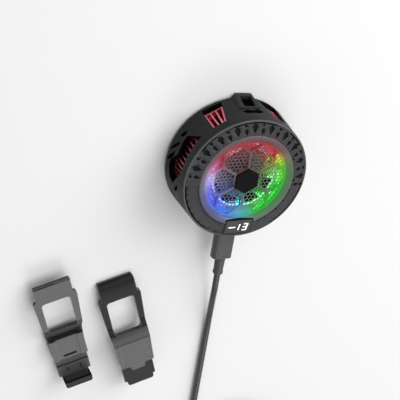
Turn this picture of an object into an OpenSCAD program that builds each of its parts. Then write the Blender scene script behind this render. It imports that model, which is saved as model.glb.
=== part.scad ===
// Magnetic phone cooling fan with its USB lead and two loose spring clips.
// The back face lies on z = 0, the fan axis is Z, and the lead leaves towards -Y.

/* [Drum] */
// Outer diameter at the back edge
back_d = 60; // [58:0.5:64]
// Outer diameter at the front rim
front_d = 58; // [56.5:0.5:61]
// Height of the front rim above the back face
drum_h = 21; // [20.5:0.25:24]
// Side wall at the back edge
wall_w = 2.6; // [2.5:0.1:3]
// Thickness of the thin front rim
rim_w = 0.8; // [0.6:0.1:1.2]
// Depth of the front cover's seat below the rim
seat_depth = 1.4; // [1.2:0.1:1.8]

/* [Back] */
// Thickness of the grip pad
pad_t = 0.6; // [0.5:0.1:1]
// Inset of the grip pad from the back edge
pad_inset = 1.2; // [1:0.1:2.4]
// Thickness of the back cover
cover_t = 1.5; // [1.4:0.1:2]
// Inset of the middle of the magnets from the side wall
magnet_inset = 2.8; // [2.6:0.1:3]
// Radial width of a magnet
magnet_w = 3.4; // [2.8:0.1:3.6]
// Thickness of a magnet
magnet_t = 1; // [0.8:0.1:1.1]
// Magnets in each quarter
magnets_per_quarter = 3; // [2:1:4]
// Inset of the cold plate's edge from the middle of the magnets
cold_inset = 4.2; // [4.1:0.1:4.8]
// Thickness of the cold plate's flange
flange_t = 0.4; // [0.4:0.1:0.8]
// Radial width of the cold plate's flange
flange_w = 1.2; // [0.8:0.1:1.4]

/* [Thermoelectric module] */
// Side of the square module, as a share of the cold plate's diameter
tec_share = 0.69; // [0.6:0.01:0.7]
// Thickness of each ceramic plate
ceramic_t = 0.5; // [0.5:0.05:0.8]
// Height of the semiconductor legs
leg_h = 0.6; // [0.5:0.1:1.2]
// Legs along each side
leg_rows = 7; // [4:1:9]
// Thickness of the thermal pad under the module
thermal_pad_t = 0.2; // [0.2:0.05:0.4]

/* [Heat sink] */
// Gap between the heat sink and the side wall
sink_gap = 0.3; // [0.25:0.05:0.6]
// Thickness of its base plate
sink_base_t = 1.2; // [1:0.1:2]
// Thickness of a fin
fin_t = 0.8; // [0.5:0.05:0.9]
// Fins in a full turn
fin_count = 72; // [60:6:78]
// Radial depth of a fin
fin_depth = 7.7; // [6:0.1:7.8]
// Angle left free of fins for the main board
fin_gap_angle = 52; // [50:2:60]

/* [Fan] */
// Gap between the blade tips and the fins
fan_gap = 1; // [0.8:0.1:1.6]
// Blades
blade_count = 9; // [5:1:11]
// Blade thickness
blade_t = 0.9; // [0.7:0.1:1.2]
// Gap between the blades and the inlet shroud
blade_gap = 1.6; // [1:0.1:2]
// Lean of a blade from upright
blade_lean = 24; // [10:1:30]
// Diameter of the fan hub
hub_d = 22.4; // [22:0.1:23]
// Wall of the fan hub
hub_wall = 0.95; // [0.8:0.05:1]
// Shaft diameter
shaft_d = 2; // [1.5:0.1:2.2]
// Running clearance of the shaft, on the radius
shaft_fit = 0.05; // [0.02:0.01:0.08]
// Outer diameter of the bearing sleeve
bearing_d = 4; // [3.8:0.1:4.2]
// Outer diameter of the bearing tube
tube_d = 6; // [5.6:0.1:6.4]
// Outer diameter of the stator core
stator_d = 16.8; // [16:0.1:17]
// Thickness of the stator core
stator_t = 2.6; // [2:0.1:3]
// Stator poles
pole_count = 6; // [6:3:9]

/* [Front] */
// Rise of the front cover from the rim to the smooth ring
crown_h = 1.3; // [1:0.1:1.6]
// Width of the front cover's band
band_w = 5.75; // [5.5:0.05:6]
// Width of the smooth ring
funnel_w = 3.1; // [2.9:0.05:3.3]
// Height of the light ring
light_h = 2; // [1.6:0.1:2.4]
// Width of the lit shroud round the fan inlet
shroud_w = 5; // [3:0.25:6]
// Width of a grille rib
rib_w = 0.9; // [0.7:0.1:1.2]
// Radius at which each spoke forks, as a share of the opening
fork_share = 0.703; // [0.63:0.01:0.75]
// Half angle of a fork at the rim
fork_angle = 19; // [16:1:21]
// Spacing of the honeycomb holes
mesh_pitch = 1.8; // [1.7:0.05:2.4]
// Width of a honeycomb hole across its corners
mesh_hole_d = 1.78; // [1.4:0.02:1.84]
// Size of the centre hexagon, as a share of the opening
hex_share = 0.333; // [0.3:0.01:0.36]
// Depth of the kite recesses
kite_depth = 0.5; // [0.3:0.1:0.8]
// Angle between neighbouring large kites
kite_pitch = 18; // [18:1:20]

/* [Display] */
// Width of the display lens
lens_w = 12.2; // [10:0.2:12.4]
// Height of the display lens
lens_h = 6.6; // [6:0.1:6.8]
// Width of the frame round the lens
frame_w = 0.45; // [0.3:0.05:0.5]
// Tilt of the display
lens_tilt = 6; // [3:1:8]
// Height of a digit
digit_h = 3.9; // [3:0.1:4.4]
// Width of a digit
digit_w = 2.4; // [2:0.1:2.6]
// Thickness of a digit's stroke
stroke_w = 0.56; // [0.4:0.02:0.8]

/* [USB socket and plug] */
// Width of the metal plug
plug_w = 8.25; // [8.2:0.05:8.3]
// Height of the metal plug
plug_h = 2.4; // [2.35:0.05:2.45]
// Length of the metal plug
plug_len = 6.65; // [6.4:0.05:6.8]
// Clearance of the plug in its socket, on each side
plug_fit = 0.06; // [0.04:0.01:0.08]
// Sheet thickness of the plug and socket
sheet_t = 0.3; // [0.25:0.01:0.32]
// Height of the plug's axis above the back face
plug_z = 10.5; // [10.3:0.1:10.8]
// Width of the moulded plug body
grip_w = 9.6; // [9.2:0.1:11]
// Height of the moulded plug body
grip_h = 5.2; // [4.8:0.1:6]
// Length of the moulded plug body
grip_len = 16.5; // [15:0.5:18]

/* [Lead] */
// Diameter of the lead
lead_d = 3; // [2.6:0.1:3]
// Turns spiralling in on the lower layer
turns_in = 3.5; // [2:0.5:3.5]
// Turns spiralling out on the upper layer
turns_out = 3.8; // [2:0.1:3.8]
// Spacing of the turns and of the two layers
turn_pitch = 3.5; // [3.5:0.1:3.8]
// Radius of the innermost turn
coil_inner_r = 12; // [11:0.5:13]

/* [Clips] */
// Overall length with the jaw closed
clip_len = 61; // [60:0.5:66]
// Width at the shoulders
clip_w = 20.4; // [20:0.2:22]
// Width of the top tab
tab_w = 17.4; // [16:0.2:18]
// Height from the panel to the hook's lip
clip_h = 10.6; // [10.4:0.1:12]
// Sheet thickness of the clip frame
clip_t = 2; // [1.6:0.1:2.2]
// Travel of the sliding jaw
jaw_travel = 8; // [5:1:8]
// Clearance of the jaw in its rails
jaw_fit = 0.25; // [0.2:0.05:0.35]

/* [Hidden] */
$fn = 96;
eps = 0.01;
fit = 0.15;
film = 0.03;

// Layers along the axis, from the back face up
z_cover = pad_t;
z_sandwich = z_cover + cover_t;
z_thermal = z_sandwich + flange_t;
z_tec = z_thermal + thermal_pad_t;
z_legs = z_tec + ceramic_t;
z_hot = z_legs + leg_h;
z_sink = z_hot + ceramic_t;
z_deck = z_sink + sink_base_t;
mid_t = 1;
board_t = 0.8;
led_h = 0.8;
grille_lift = 0.6;
shroud_t = 0.7;
shroud_dip = 0.3;
z_seat = drum_h - seat_depth;
z_grille = z_seat + grille_lift;
z_light = z_grille - light_h;
z_led = z_light - led_h;
z_led_board = z_led - board_t;
z_mid = z_led_board - mid_t;
fin_h = z_mid - z_deck;

// Radii that several pieces share
back_r = back_d / 2;
front_r = front_d / 2;
rim_step = 1;
bore_r = min(back_r - wall_w, front_r - wall_w + rim_step);
bore_d = 2 * bore_r;
pad_d = back_d - 2 * pad_inset;
seat_r = front_r - rim_w;
bezel_r = seat_r - fit;
ring_r = bezel_r - band_w;
open_r = ring_r - funnel_w;
sink_r = bore_r - sink_gap;
fin_in_r = sink_r - fin_depth;
fan_d = 2 * (fin_in_r - fan_gap);
magnet_r = bore_r - magnet_inset;
cold_r = magnet_r - cold_inset;
tec_side = 2 * cold_r * tec_share;
cover_hole_r = cold_r + fit * 2;
// Longer than anything that a cut has to pass through
reach = 2 * max(back_d, front_d);
grille_r = open_r - 0.1;
groove_w = magnet_w + 2 * fit;
screw_angles = [45, 135, 225, 315];
crest_z = drum_h + crown_h;
crown_angle = atan2(crown_h, bezel_r - ring_r);

function wall_r(z) = back_r + (front_r - back_r) * (z - pad_t) / (drum_h - pad_t);
function crown_z(r) = drum_h + crown_h * (bezel_r - r) / (bezel_r - ring_r);
function unit(v) = v / norm(v);

// Windows in the side wall, as points along the wall and up it
window_angle = 117.5;
window_pts = [[-5.4, 2.6], [4.2, 2.6], [4.2, 16.2], [-1.9, 16.2]];
claw_cuts = [
    [147, [[-4.6, 15.8], [4.9, 16.6], [4.9, 8.7], [0.2, 8.2], [-2, 11.5]]],
    [163, [[-4.8, 16.5], [4.8, 16.8], [4.8, 6], [0.6, 9.2], [-4.8, 8.7]]],
    [181, [[-5.4, 16.7], [-2, 16], [5.6, 9.6], [4.2, 6.2], [-2.2, 4.6], [-5.4, 5.8]]]
];
blade_cuts = [
    [147, [[2.6, 4.2], [1.8, 6.4], [0.4, 7], [-1.7, 6.1], [0.5, 4.5]]],
    [160, [[3.8, 2.1], [1.4, 5], [-1.9, 7.4], [-2.3, 6.2], [1.1, 3.2]]],
    [170, [[3.4, 1.8], [2.5, 3.9], [-0.7, 7], [-3, 6.6], [0.4, 3.3]]],
    [196, [[-4.1, 14.7], [-0.5, 11.2], [1.7, 10.2], [-1.2, 14.2]]]
];
blade_depth = 1.5;
bracket_angle = 87;
wing_pts = [[5.1, 13.4], [3, 14.9], [-3.1, 14.9], [-5.3, 13.2], [-2.6, 11.5], [0.1, 12.7], [2.4, 11.8]];
bracket_top_z = 10.6;
bracket_rise = 1.7;
bracket_step = 0.25;
bracket_r = max(back_r, front_r) + bracket_rise;
bracket_foot = 5.1;
bracket_foot_y = sqrt(back_r * back_r - bracket_foot * bracket_foot) - 0.5;
bracket_top = 3.8;
bracket_pts = [
    [-bracket_foot, bracket_foot_y - 2], [-bracket_foot, bracket_foot_y], [-bracket_top, bracket_r],
    [bracket_top, bracket_r], [bracket_foot, bracket_foot_y], [bracket_foot, bracket_foot_y - 2]
];
bracket_slot = [5.4, 6.8];
bracket_slot_z = 3;
bracket_pocket = 1.8;
// Side view of the bracket: full height at the back, running out into the wall at the front
bracket_ramp = [
    [bore_r, z_cover], [bracket_r, z_cover], [bracket_r, z_cover + 1.2],
    [wall_r(bracket_top_z) + bracket_step, bracket_top_z], [bore_r, bracket_top_z]
];
bracket_slot_pts = [
    [-bracket_slot[0] / 2, bracket_slot_z], [bracket_slot[0] / 2, bracket_slot_z],
    [bracket_slot[0] / 2, bracket_slot_z + bracket_slot[1]],
    [-bracket_slot[0] / 2, bracket_slot_z + bracket_slot[1]]
];

// Prism through the side wall at an angle, from one radius to another
module wall_cut(angle, pts, r0, r1) {
    rotate([0, 0, angle])
        translate([r0, 0, 0])
            rotate([90, 0, 90])
                linear_extrude(r1 - r0) polygon(pts);
}

module tube(d, hole, h) {
    difference() {
        cylinder(d = d, h = h);
        translate([0, 0, -1]) cylinder(d = hole, h = h + 2);
    }
}

module round_rect(w, h, r) {
    square([w - 2 * r, h], center = true);
    square([w, h - 2 * r], center = true);
    for (x = [-1, 1], y = [-1, 1])
        translate([x * (w / 2 - r), y * (h / 2 - r)]) circle(r);
}

// Bar of a given section along X, centred
module across(w) {
    translate([-w / 2, 0, 0]) rotate([90, 0, 90]) linear_extrude(w) children();
}

// Bar of a given section along -Y, starting at y0
module bar_y(y0, len) {
    translate([0, y0, 0]) rotate([90, 0, 0]) linear_extrude(len) children();
}

// Drum
module housing_cuts() {
    wall_cut(window_angle, window_pts, sink_r, bracket_r);
    for (cut = claw_cuts)
        wall_cut(cut[0], cut[1], sink_r, bracket_r);
    for (cut = blade_cuts)
        wall_cut(cut[0], cut[1], wall_r(cut[1][1][1]) - blade_depth, bracket_r);
}

socket_w = plug_w + 2 * plug_fit + 2 * sheet_t;
socket_h = plug_h + 2 * plug_fit + 2 * sheet_t;
port_gap = 0.35;
lip_w = 0.7;
lip_t = 1;

module housing() {
    color([0.16, 0.16, 0.17])
    difference() {
        rotate_extrude()
            polygon([
                [bore_r, z_cover], [back_r - 0.6, z_cover], [back_r, z_cover + 0.6],
                [front_r, drum_h - 0.4], [front_r - 0.3, drum_h], [seat_r, drum_h],
                [seat_r, z_seat], [bore_r, z_seat], [bore_r, z_sandwich + lip_t],
                [bore_r - lip_w, z_sandwich + lip_t], [bore_r - lip_w, z_sandwich],
                [bore_r, z_sandwich]
            ]);
        housing_cuts();
        mirror([1, 0, 0]) housing_cuts();
        wall_cut(bracket_angle, wing_pts, sink_r, bracket_r);
        wall_cut(bracket_angle, bracket_slot_pts, wall_r(bracket_slot_z) - bracket_pocket, bracket_r);
        translate([0, 0, plug_z])
            bar_y(-bore_r + 2, back_r)
                round_rect(socket_w + 2 * port_gap, socket_h + 2 * port_gap, socket_h / 2);
    }
}

module clip_bracket() {
    color([0.14, 0.14, 0.15])
    difference() {
        rotate([0, 0, bracket_angle - 90])
            intersection() {
                translate([0, 0, z_cover]) linear_extrude(bracket_top_z - z_cover) polygon(bracket_pts);
                across(reach) polygon(bracket_ramp);
            }
        rotate_extrude($fn = 3 * $fn)
            polygon([
                [0, z_cover - 1], [back_r + film, z_cover - 1], [back_r + film, z_cover + 0.6],
                [front_r + film, drum_h], [0, drum_h]
            ]);
        wall_cut(bracket_angle, bracket_slot_pts, bore_r, bracket_r + 1);
    }
}

// Grating in the two upright windows: a cross bar and four bars running to the front
bar_inset = [2.4, 0.9];
grate_z = [4.2, 16];
grate_w = 0.65;
grate_feet = [3.8, 1.3, -1.35, -4.4];
grate_tips = [3.8, 1.6, -0.25, -1.5];

module vent_grate() {
    r0 = wall_r(grate_z[0]) - bar_inset[0];
    r1 = wall_r(grate_z[1]) - bar_inset[1];
    wall_cut(window_angle, [
        [grate_feet[3], grate_z[0]], [grate_feet[0], grate_z[0]],
        [grate_feet[0], grate_z[0] + grate_w], [grate_feet[3], grate_z[0] + grate_w]
    ], r0, r1);
    for (i = [0 : 3])
        wall_cut(window_angle, [
            [grate_feet[i] - grate_w / 2, grate_z[0]], [grate_feet[i] + grate_w / 2, grate_z[0]],
            [grate_tips[i] + grate_w / 2, grate_z[1]], [grate_tips[i] - grate_w / 2, grate_z[1]]
        ], r0, r1);
}

module vent_bars() {
    color([0.85, 0.45, 0.5]) {
        vent_grate();
        mirror([1, 0, 0]) vent_grate();
    }
}

// Back
screw_d = 2;
head_d = 3.6;
head_h = 1;
post_d = 4;
post_depth = z_sink - z_sandwich;

module grip_pad() {
    color([0.1, 0.1, 0.1]) tube(pad_d, 2 * cover_hole_r, pad_t);
}

module magnet_gaps() {
    for (angle = screw_angles)
        rotate([0, 0, angle]) translate([magnet_r, 0, 0])
            cylinder(d = post_d + 2, h = 3 * cover_t, center = true);
}

module back_cover() {
    color([0.13, 0.13, 0.14])
    translate([0, 0, z_cover])
    difference() {
        tube(bore_d - 2 * fit, 2 * cover_hole_r, cover_t);
        difference() {
            translate([0, 0, -eps]) tube(2 * magnet_r + groove_w, 2 * magnet_r - groove_w, magnet_t + 0.1);
            magnet_gaps();
        }
        for (angle = screw_angles)
            rotate([0, 0, angle]) translate([magnet_r, 0, -1]) {
                cylinder(d = screw_d + 0.2, h = cover_t + 2);
                cylinder(d = head_d + 0.2, h = 1 + head_h);
            }
    }
}

magnet_arc = (90 - 2 * asin((post_d / 2 + 1.2) / (magnet_r - magnet_w / 2))) / magnets_per_quarter;

module ring_magnets() {
    color([0.7, 0.7, 0.72])
    translate([0, 0, z_cover])
        for (angle = screw_angles, i = [0 : magnets_per_quarter - 1])
            rotate([0, 0, angle + 45 + (i - magnets_per_quarter / 2) * magnet_arc])
                rotate_extrude(angle = magnet_arc - 1)
                    translate([magnet_r - magnet_w / 2, 0]) square([magnet_w, magnet_t]);
}

module cold_plate() {
    color([0.75, 0.76, 0.78]) {
        cylinder(r = cold_r, h = z_sandwich + eps);
        translate([0, 0, z_sandwich]) cylinder(r = cold_r + flange_w, h = flange_t);
    }
}

module clamp_screws() {
    color([0.55, 0.55, 0.57])
    for (angle = screw_angles)
        rotate([0, 0, angle]) translate([magnet_r, 0, z_cover]) {
            difference() {
                cylinder(d = head_d, h = head_h - eps);
                translate([0, 0, -eps]) cylinder(d = 1.4, h = 0.6, $fn = 6);
            }
            cylinder(d = screw_d, h = cover_t + post_depth - 0.3);
        }
}

// Thermoelectric module
module square_plate(side, z, t) {
    translate([0, 0, z + t / 2]) cube([side, side, t], center = true);
}

module thermal_pad() {
    color([0.6, 0.62, 0.7]) square_plate(tec_side, z_thermal, thermal_pad_t);
}

module tec_cold_ceramic() {
    color("white") square_plate(tec_side, z_tec, ceramic_t);
}

module tec_legs() {
    pitch = tec_side / leg_rows;
    leg = pitch * 0.5;
    color([0.45, 0.45, 0.5])
    for (i = [0 : leg_rows - 1], j = [0 : leg_rows - 1])
        translate([(i + 0.5) * pitch - tec_side / 2, (j + 0.5) * pitch - tec_side / 2, z_legs + leg_h / 2])
            cube([leg, leg, leg_h], center = true);
}

module tec_hot_ceramic() {
    color("white") square_plate(tec_side, z_hot, ceramic_t);
}

module foam_frame() {
    color([0.2, 0.2, 0.2])
    translate([0, 0, z_thermal])
    difference() {
        cylinder(r = cold_r + flange_w, h = z_sink - z_thermal);
        cube([tec_side + 0.6, tec_side + 0.6, 4 * cover_t], center = true);
        translate([0, 0, z_sink - z_thermal])
            cube([tec_side + 0.6, tec_side + 0.6, 4 * cover_t], center = true);
    }
}

// Heat sink
fan_screw_r = 9.6;
fan_screw_d = 1.4;
fan_head_d = 2.6;
fan_head_h = 0.7;
fan_base_t = 1.2;

module heat_sink() {
    color([0.78, 0.35, 0.4])
    difference() {
        union() {
            translate([0, 0, z_sink]) cylinder(r = sink_r, h = sink_base_t);
            for (i = [0 : fin_count - 1])
                let (angle = i * 360 / fin_count)
                    if (abs(angle - 270) > fin_gap_angle / 2)
                        rotate([0, 0, angle])
                            translate([fin_in_r, -fin_t / 2, z_deck - eps])
                                cube([fin_depth - 0.1, fin_t, fin_h + eps]);
            for (angle = screw_angles)
                rotate([0, 0, angle]) translate([magnet_r, 0, z_sandwich])
                    cylinder(d = post_d, h = post_depth + eps);
        }
        for (angle = screw_angles)
            rotate([0, 0, angle])
                translate([magnet_r, 0, z_sandwich - 1]) cylinder(d = screw_d + 0.1, h = post_depth + 1);
        for (i = [0 : 2])
            rotate([0, 0, 90 + 120 * i])
                translate([fan_screw_r, 0, z_sink - 1])
                    cylinder(d = fan_screw_d + 0.1, h = sink_base_t + 2);
    }
}

// Fan motor, fixed side
bearing_h = 6;
tube_h = 6.8;
z_fan = z_deck + fan_base_t;
z_stator = z_fan + 1.8;

module fan_base() {
    color([0.12, 0.12, 0.12])
    difference() {
        union() {
            translate([0, 0, z_deck]) cylinder(r = fan_screw_r + 2, h = fan_base_t);
            translate([0, 0, z_fan - eps]) cylinder(d = tube_d, h = tube_h);
        }
        translate([0, 0, z_fan - 0.4]) cylinder(d = bearing_d + 2 * film, h = tube_h + 1);
        for (i = [0 : 2])
            rotate([0, 0, 90 + 120 * i]) translate([fan_screw_r, 0, z_deck - 1]) {
                cylinder(d = fan_screw_d + 0.1, h = fan_base_t + 2);
                translate([0, 0, 1 + fan_base_t - fan_head_h])
                    cylinder(d = fan_head_d + 0.1, h = fan_base_t);
            }
    }
}

module fan_screws() {
    color([0.6, 0.6, 0.62])
    for (i = [0 : 2])
        rotate([0, 0, 90 + 120 * i]) translate([fan_screw_r, 0, z_fan - fan_head_h]) {
            difference() {
                cylinder(d = fan_head_d, h = fan_head_h - 0.1);
                translate([-fan_head_d, -0.15, fan_head_h - 0.4]) cube([2 * fan_head_d, 0.3, 1]);
            }
            translate([0, 0, -sink_base_t]) cylinder(d = fan_screw_d, h = sink_base_t + eps);
        }
}

module bearing() {
    color([0.72, 0.55, 0.3])
    translate([0, 0, z_fan]) tube(bearing_d, shaft_d + 2 * shaft_fit, bearing_h);
}

module motor_board() {
    color([0.1, 0.35, 0.2]) translate([0, 0, z_fan]) tube(stator_d, tube_d + 0.4, board_t);
}

pole_w = 2;
tip_w = 1;

// Slot between two neighbouring poles, with its bisector along X
winding_in = tube_d / 2 + 1.2;
half_step = 180 / pole_count;
tip_r = stator_d / 2 - tip_w;
slot_half = 0.6;
slot_x = (tip_r - slot_half * sin(half_step)) / cos(half_step);
function pole_side(u) = [
    u * cos(half_step) + pole_w / 2 * sin(half_step),
    u * sin(half_step) - pole_w / 2 * cos(half_step)
];
slot_side = [pole_side(winding_in), pole_side(tip_r), [slot_x, slot_half], [stator_d, slot_half]];
slot_pts = concat(slot_side, [for (i = [3 : -1 : 0]) [slot_side[i][0], -slot_side[i][1]]]);

module stator_core() {
    color([0.5, 0.5, 0.55])
    translate([0, 0, z_stator])
    difference() {
        tube(stator_d, tube_d + 2 * film, stator_t);
        for (i = [0 : pole_count - 1])
            rotate([0, 0, (2 * i + 1) * half_step])
                translate([0, 0, -1]) linear_extrude(stator_t + 2) polygon(slot_pts);
    }
}

coil_wall = min(0.7, winding_in * tan(half_step) - pole_w / 2 - 0.15);
winding_len = tip_r - 0.2 - winding_in;

module stator_windings() {
    color([0.75, 0.42, 0.2])
    for (i = [0 : pole_count - 1])
        rotate([0, 0, i * 360 / pole_count])
            translate([winding_in, 0, z_stator + stator_t / 2])
                difference() {
                    translate([0, -pole_w / 2 - coil_wall, -stator_t / 2 - coil_wall])
                        cube([winding_len, pole_w + 2 * coil_wall, stator_t + 2 * coil_wall]);
                    translate([-1, -pole_w / 2 - film, -stator_t / 2 - film])
                        cube([winding_len + 2, pole_w + 2 * film, stator_t + 2 * film]);
                }
}

// Fan, turning side
rotor_wall = 0.5;
rotor_d = hub_d - 2 * hub_wall - 2 * film;
rotor_z = z_fan + 1;
rotor_h = 7.2;
magnet_ring_t = 0.85;
hub_top = 1;
z_hub = rotor_z - 0.3;
blade_h = z_light - shroud_dip - blade_gap - z_hub;
hub_h = rotor_h + 0.3 + film + hub_top;

module shaft() {
    color([0.8, 0.8, 0.82])
    translate([0, 0, z_fan - 0.2]) cylinder(d = shaft_d, h = rotor_z + rotor_h - z_fan + 0.6);
}

module rotor_cup() {
    color([0.6, 0.6, 0.63])
    translate([0, 0, rotor_z])
    difference() {
        cylinder(d = rotor_d, h = rotor_h);
        translate([0, 0, -1]) cylinder(d = rotor_d - 2 * rotor_wall, h = rotor_h - rotor_wall + 1);
        cylinder(d = shaft_d + 2 * film, h = rotor_h + 1);
    }
}

module rotor_magnet() {
    color([0.25, 0.25, 0.27])
    translate([0, 0, rotor_z])
        tube(rotor_d - 2 * rotor_wall - 2 * film,
             rotor_d - 2 * rotor_wall - 2 * film - 2 * magnet_ring_t, rotor_h - 2);
}

module impeller() {
    color([0.12, 0.12, 0.13])
    difference() {
        union() {
            translate([0, 0, z_hub]) cylinder(d = hub_d, h = hub_h);
            intersection() {
                translate([0, 0, z_hub]) tube(fan_d, hub_d - hub_wall, blade_h);
                for (i = [0 : blade_count - 1])
                    rotate([0, 0, i * 360 / blade_count])
                        translate([0, 0, z_hub + blade_h / 2])
                            rotate([blade_lean, 0, 0])
                                translate([0, -blade_t / 2, -blade_h])
                                    cube([fan_d, blade_t, 2 * blade_h]);
            }
        }
        translate([0, 0, z_hub - 1]) cylinder(d = hub_d - 2 * hub_wall, h = hub_h - hub_top + 1);
        translate([0, 0, z_hub]) cylinder(d = shaft_d + 2 * film, h = hub_h - hub_top + 0.6);
    }
}

// Main board with the USB socket
socket_len = 7.4;
socket_mouth_y = -(wall_r(plug_z) - 1.1);
board_in_r = fin_in_r + 0.8;
board_w = 2 * (board_in_r * tan(fin_gap_angle / 2) - fin_t / 2 - 0.3);
z_board = plug_z - socket_h / 2 - board_t;
tongue_w = 6.7;
tongue_t = 0.7;

module board_outline() {
    intersection() {
        circle(r = sink_r - 0.2);
        translate([-board_w / 2, -sink_r]) square([board_w, sink_r - board_in_r]);
    }
}

module board_pad() {
    color([0.55, 0.6, 0.7]) translate([0, 0, z_deck]) linear_extrude(z_board - z_deck) board_outline();
}

module main_board() {
    color([0.08, 0.3, 0.18]) translate([0, 0, z_board]) linear_extrude(board_t) board_outline();
}

chip_side = 3;
chip_h = 1.1;
can_d = 2.8;
can_h = 3.4;

module board_parts() {
    color([0.12, 0.12, 0.12])
    for (side = [-1, 1])
        translate([side * (socket_w / 2 + chip_side / 2 + 0.6), -sink_r + 3.8, z_board + board_t]) {
            translate([-chip_side / 2, 0, 0]) cube([chip_side, chip_side, chip_h]);
            if (side < 0)
                translate([0, -can_d / 2 + 0.1, 0]) cylinder(d = can_d - 0.4, h = can_h);
        }
}

module usb_socket() {
    color([0.75, 0.75, 0.77])
    translate([0, 0, plug_z])
    difference() {
        bar_y(socket_mouth_y + socket_len, socket_len) round_rect(socket_w, socket_h, socket_h / 2 - eps);
        bar_y(socket_mouth_y + socket_len - sheet_t, socket_len)
            round_rect(socket_w - 2 * sheet_t, socket_h - 2 * sheet_t, socket_h / 2 - sheet_t - eps);
    }
}

module usb_tongue() {
    color([0.1, 0.1, 0.1])
    translate([0, 0, plug_z])
        bar_y(socket_mouth_y + socket_len - sheet_t, socket_len - sheet_t - 1.2)
            square([tongue_w, tongue_t], center = true);
}

// Lighting deck
led_side = 2;
led_r = open_r + 0.7;
led_count = 18;

module mid_plate() {
    color([0.15, 0.15, 0.15]) translate([0, 0, z_mid]) tube(bore_d - 0.4, 2 * fin_in_r - 1, mid_t);
}

module led_board() {
    color([0.9, 0.9, 0.88]) translate([0, 0, z_led_board]) tube(bore_d - 3.2, 2 * fin_in_r + 0.6, board_t);
}

module leds() {
    color([1, 0.95, 0.8])
    for (i = [0 : led_count - 1])
        let (angle = i * 360 / led_count)
            if (abs(angle - 270) > 25)
                rotate([0, 0, angle])
                    translate([led_r, 0, z_led + led_h / 2])
                        cube([led_side, led_side, led_h], center = true);
}

// The light ring runs on inwards as a thin shroud round the fan inlet
light_r = open_r + 1.4;
light_in_r = open_r - 0.3;
shroud_r = open_r - shroud_w;

module light_ring() {
    color([0.85, 0.9, 1])
    rotate_extrude()
        polygon([
            [light_r, z_light], [light_r, z_grille], [light_in_r, z_grille],
            [light_in_r, z_light + shroud_t + 0.4],
            [light_in_r - 1, z_light + shroud_t], [shroud_r, z_light + shroud_t - shroud_dip],
            [shroud_r, z_light - shroud_dip], [light_in_r, z_light]
        ]);
}

// Front cover
seat_flange_w = 1.2;
seat_flange_t = 0.8;
first_kite = 1;
big_kites = 10;
small_kites = 11;
big_kite = [4.7, 2.9];
small_kite = [3.3, 1.9];
dot_d = 1.1;
band_r = (bezel_r + ring_r) / 2;
big_kite_r = band_r + 0.2;
small_kite_r = band_r - 1;
dot_r = band_r + 1.8;
// Arcs where a wider shadow gap parts the front cover from the rim
shadow_arcs = [[128, 146], [68, 112], [186, 236], [34, 52], [304, 354]];
shadow_w = 0.5;
shadow_depth = 0.8;

// Display block: its middle, and the plane of its face
lens_y = -(grille_r + frame_w + 0.3 + lens_h / 2);
lens_face_z = crown_z(-lens_y) + 0.35;
block_w = lens_w + 2 * frame_w + 0.1;
block_h = lens_h + 2 * frame_w + 0.1;

// Kite with its point towards the axis, in the sloping face
module kite_cut(r, size) {
    translate([r, 0, crown_z(r)])
        rotate([0, crown_angle, 0])
            translate([0, 0, -kite_depth])
                linear_extrude(kite_depth + 2)
                    polygon([
                        [-size[0] / 2, 0], [size[0] / 6, -size[1] / 2],
                        [size[0] / 2, 0], [size[0] / 6, size[1] / 2]
                    ]);
}

module dot_cut(r) {
    translate([r, 0, crown_z(r)])
        rotate([0, crown_angle, 0])
            translate([0, 0, -kite_depth]) cylinder(d = dot_d, h = kite_depth + 2, $fn = 24);
}

// Upright block whose top is the tilted plane of the display
module display_block(w, h, z0, rise) {
    intersection() {
        translate([-w / 2, lens_y - h / 2, z0]) cube([w, h, 6]);
        translate([0, lens_y, lens_face_z + rise])
            rotate([lens_tilt, 0, 0])
                translate([-reach / 2, -reach / 2, -reach]) cube(reach);
    }
}

module bezel() {
    color([0.27, 0.27, 0.29])
    difference() {
        union() {
            difference() {
                rotate_extrude()
                    polygon([
                        [ring_r - seat_flange_w, z_seat], [bezel_r, z_seat], [bezel_r, drum_h],
                        [ring_r, crest_z], [ring_r, z_seat + seat_flange_t],
                        [ring_r - seat_flange_w, z_seat + seat_flange_t]
                    ]);
                for (i = [0 : big_kites - 1])
                    rotate([0, 0, first_kite + i * kite_pitch]) kite_cut(big_kite_r, big_kite);
                for (i = [0 : small_kites - 1])
                    rotate([0, 0, first_kite + (i - 0.5) * kite_pitch]) {
                        kite_cut(small_kite_r, small_kite);
                        dot_cut(dot_r);
                    }
                for (arc = shadow_arcs)
                    rotate([0, 0, arc[0]])
                        rotate_extrude(angle = arc[1] - arc[0])
                            translate([bezel_r - shadow_w, drum_h - shadow_depth]) square([2, 4]);
            }
            display_block(block_w, block_h, z_grille + 0.3, 0.2);
        }
        translate([-lens_w / 2 - 0.05, lens_y - lens_h / 2 - 0.05, 0])
            cube([lens_w + 0.1, lens_h + 0.1, reach]);
    }
}

module funnel_ring() {
    color([0.4, 0.4, 0.43])
    difference() {
        rotate_extrude()
            polygon([
                [ring_r - fit, z_seat + seat_flange_t], [ring_r - fit, crest_z],
                [ring_r - 0.5, crest_z + 0.2],
                [ring_r - 1.2, crest_z + 0.15], [ring_r - 2.1, crest_z - 0.25],
                [open_r + 0.1, crest_z - 1], [open_r, crest_z - 1.3], [open_r, z_seat + seat_flange_t]
            ]);
        translate([-block_w / 2 - 0.1, lens_y - block_h / 2 - 0.1, 0])
            cube([block_w + 0.2, block_h + 0.2, reach]);
    }
}

// Grille: a honeycomb plate with six forked spokes
plate_t = 0.3;
hub_z = crest_z - 0.5;
cap_t = 0.8;
spoke_angles = [for (i = [0 : 5]) 30 + 60 * i];
hex_r = hex_share * open_r;
fork_r = fork_share * open_r;
solid_half_w = open_r * sin(fork_angle) + rib_w;
mesh_margin = rib_w / 2 + 0.3;
mesh_rim = mesh_hole_d / 2 + 0.1;

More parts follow.
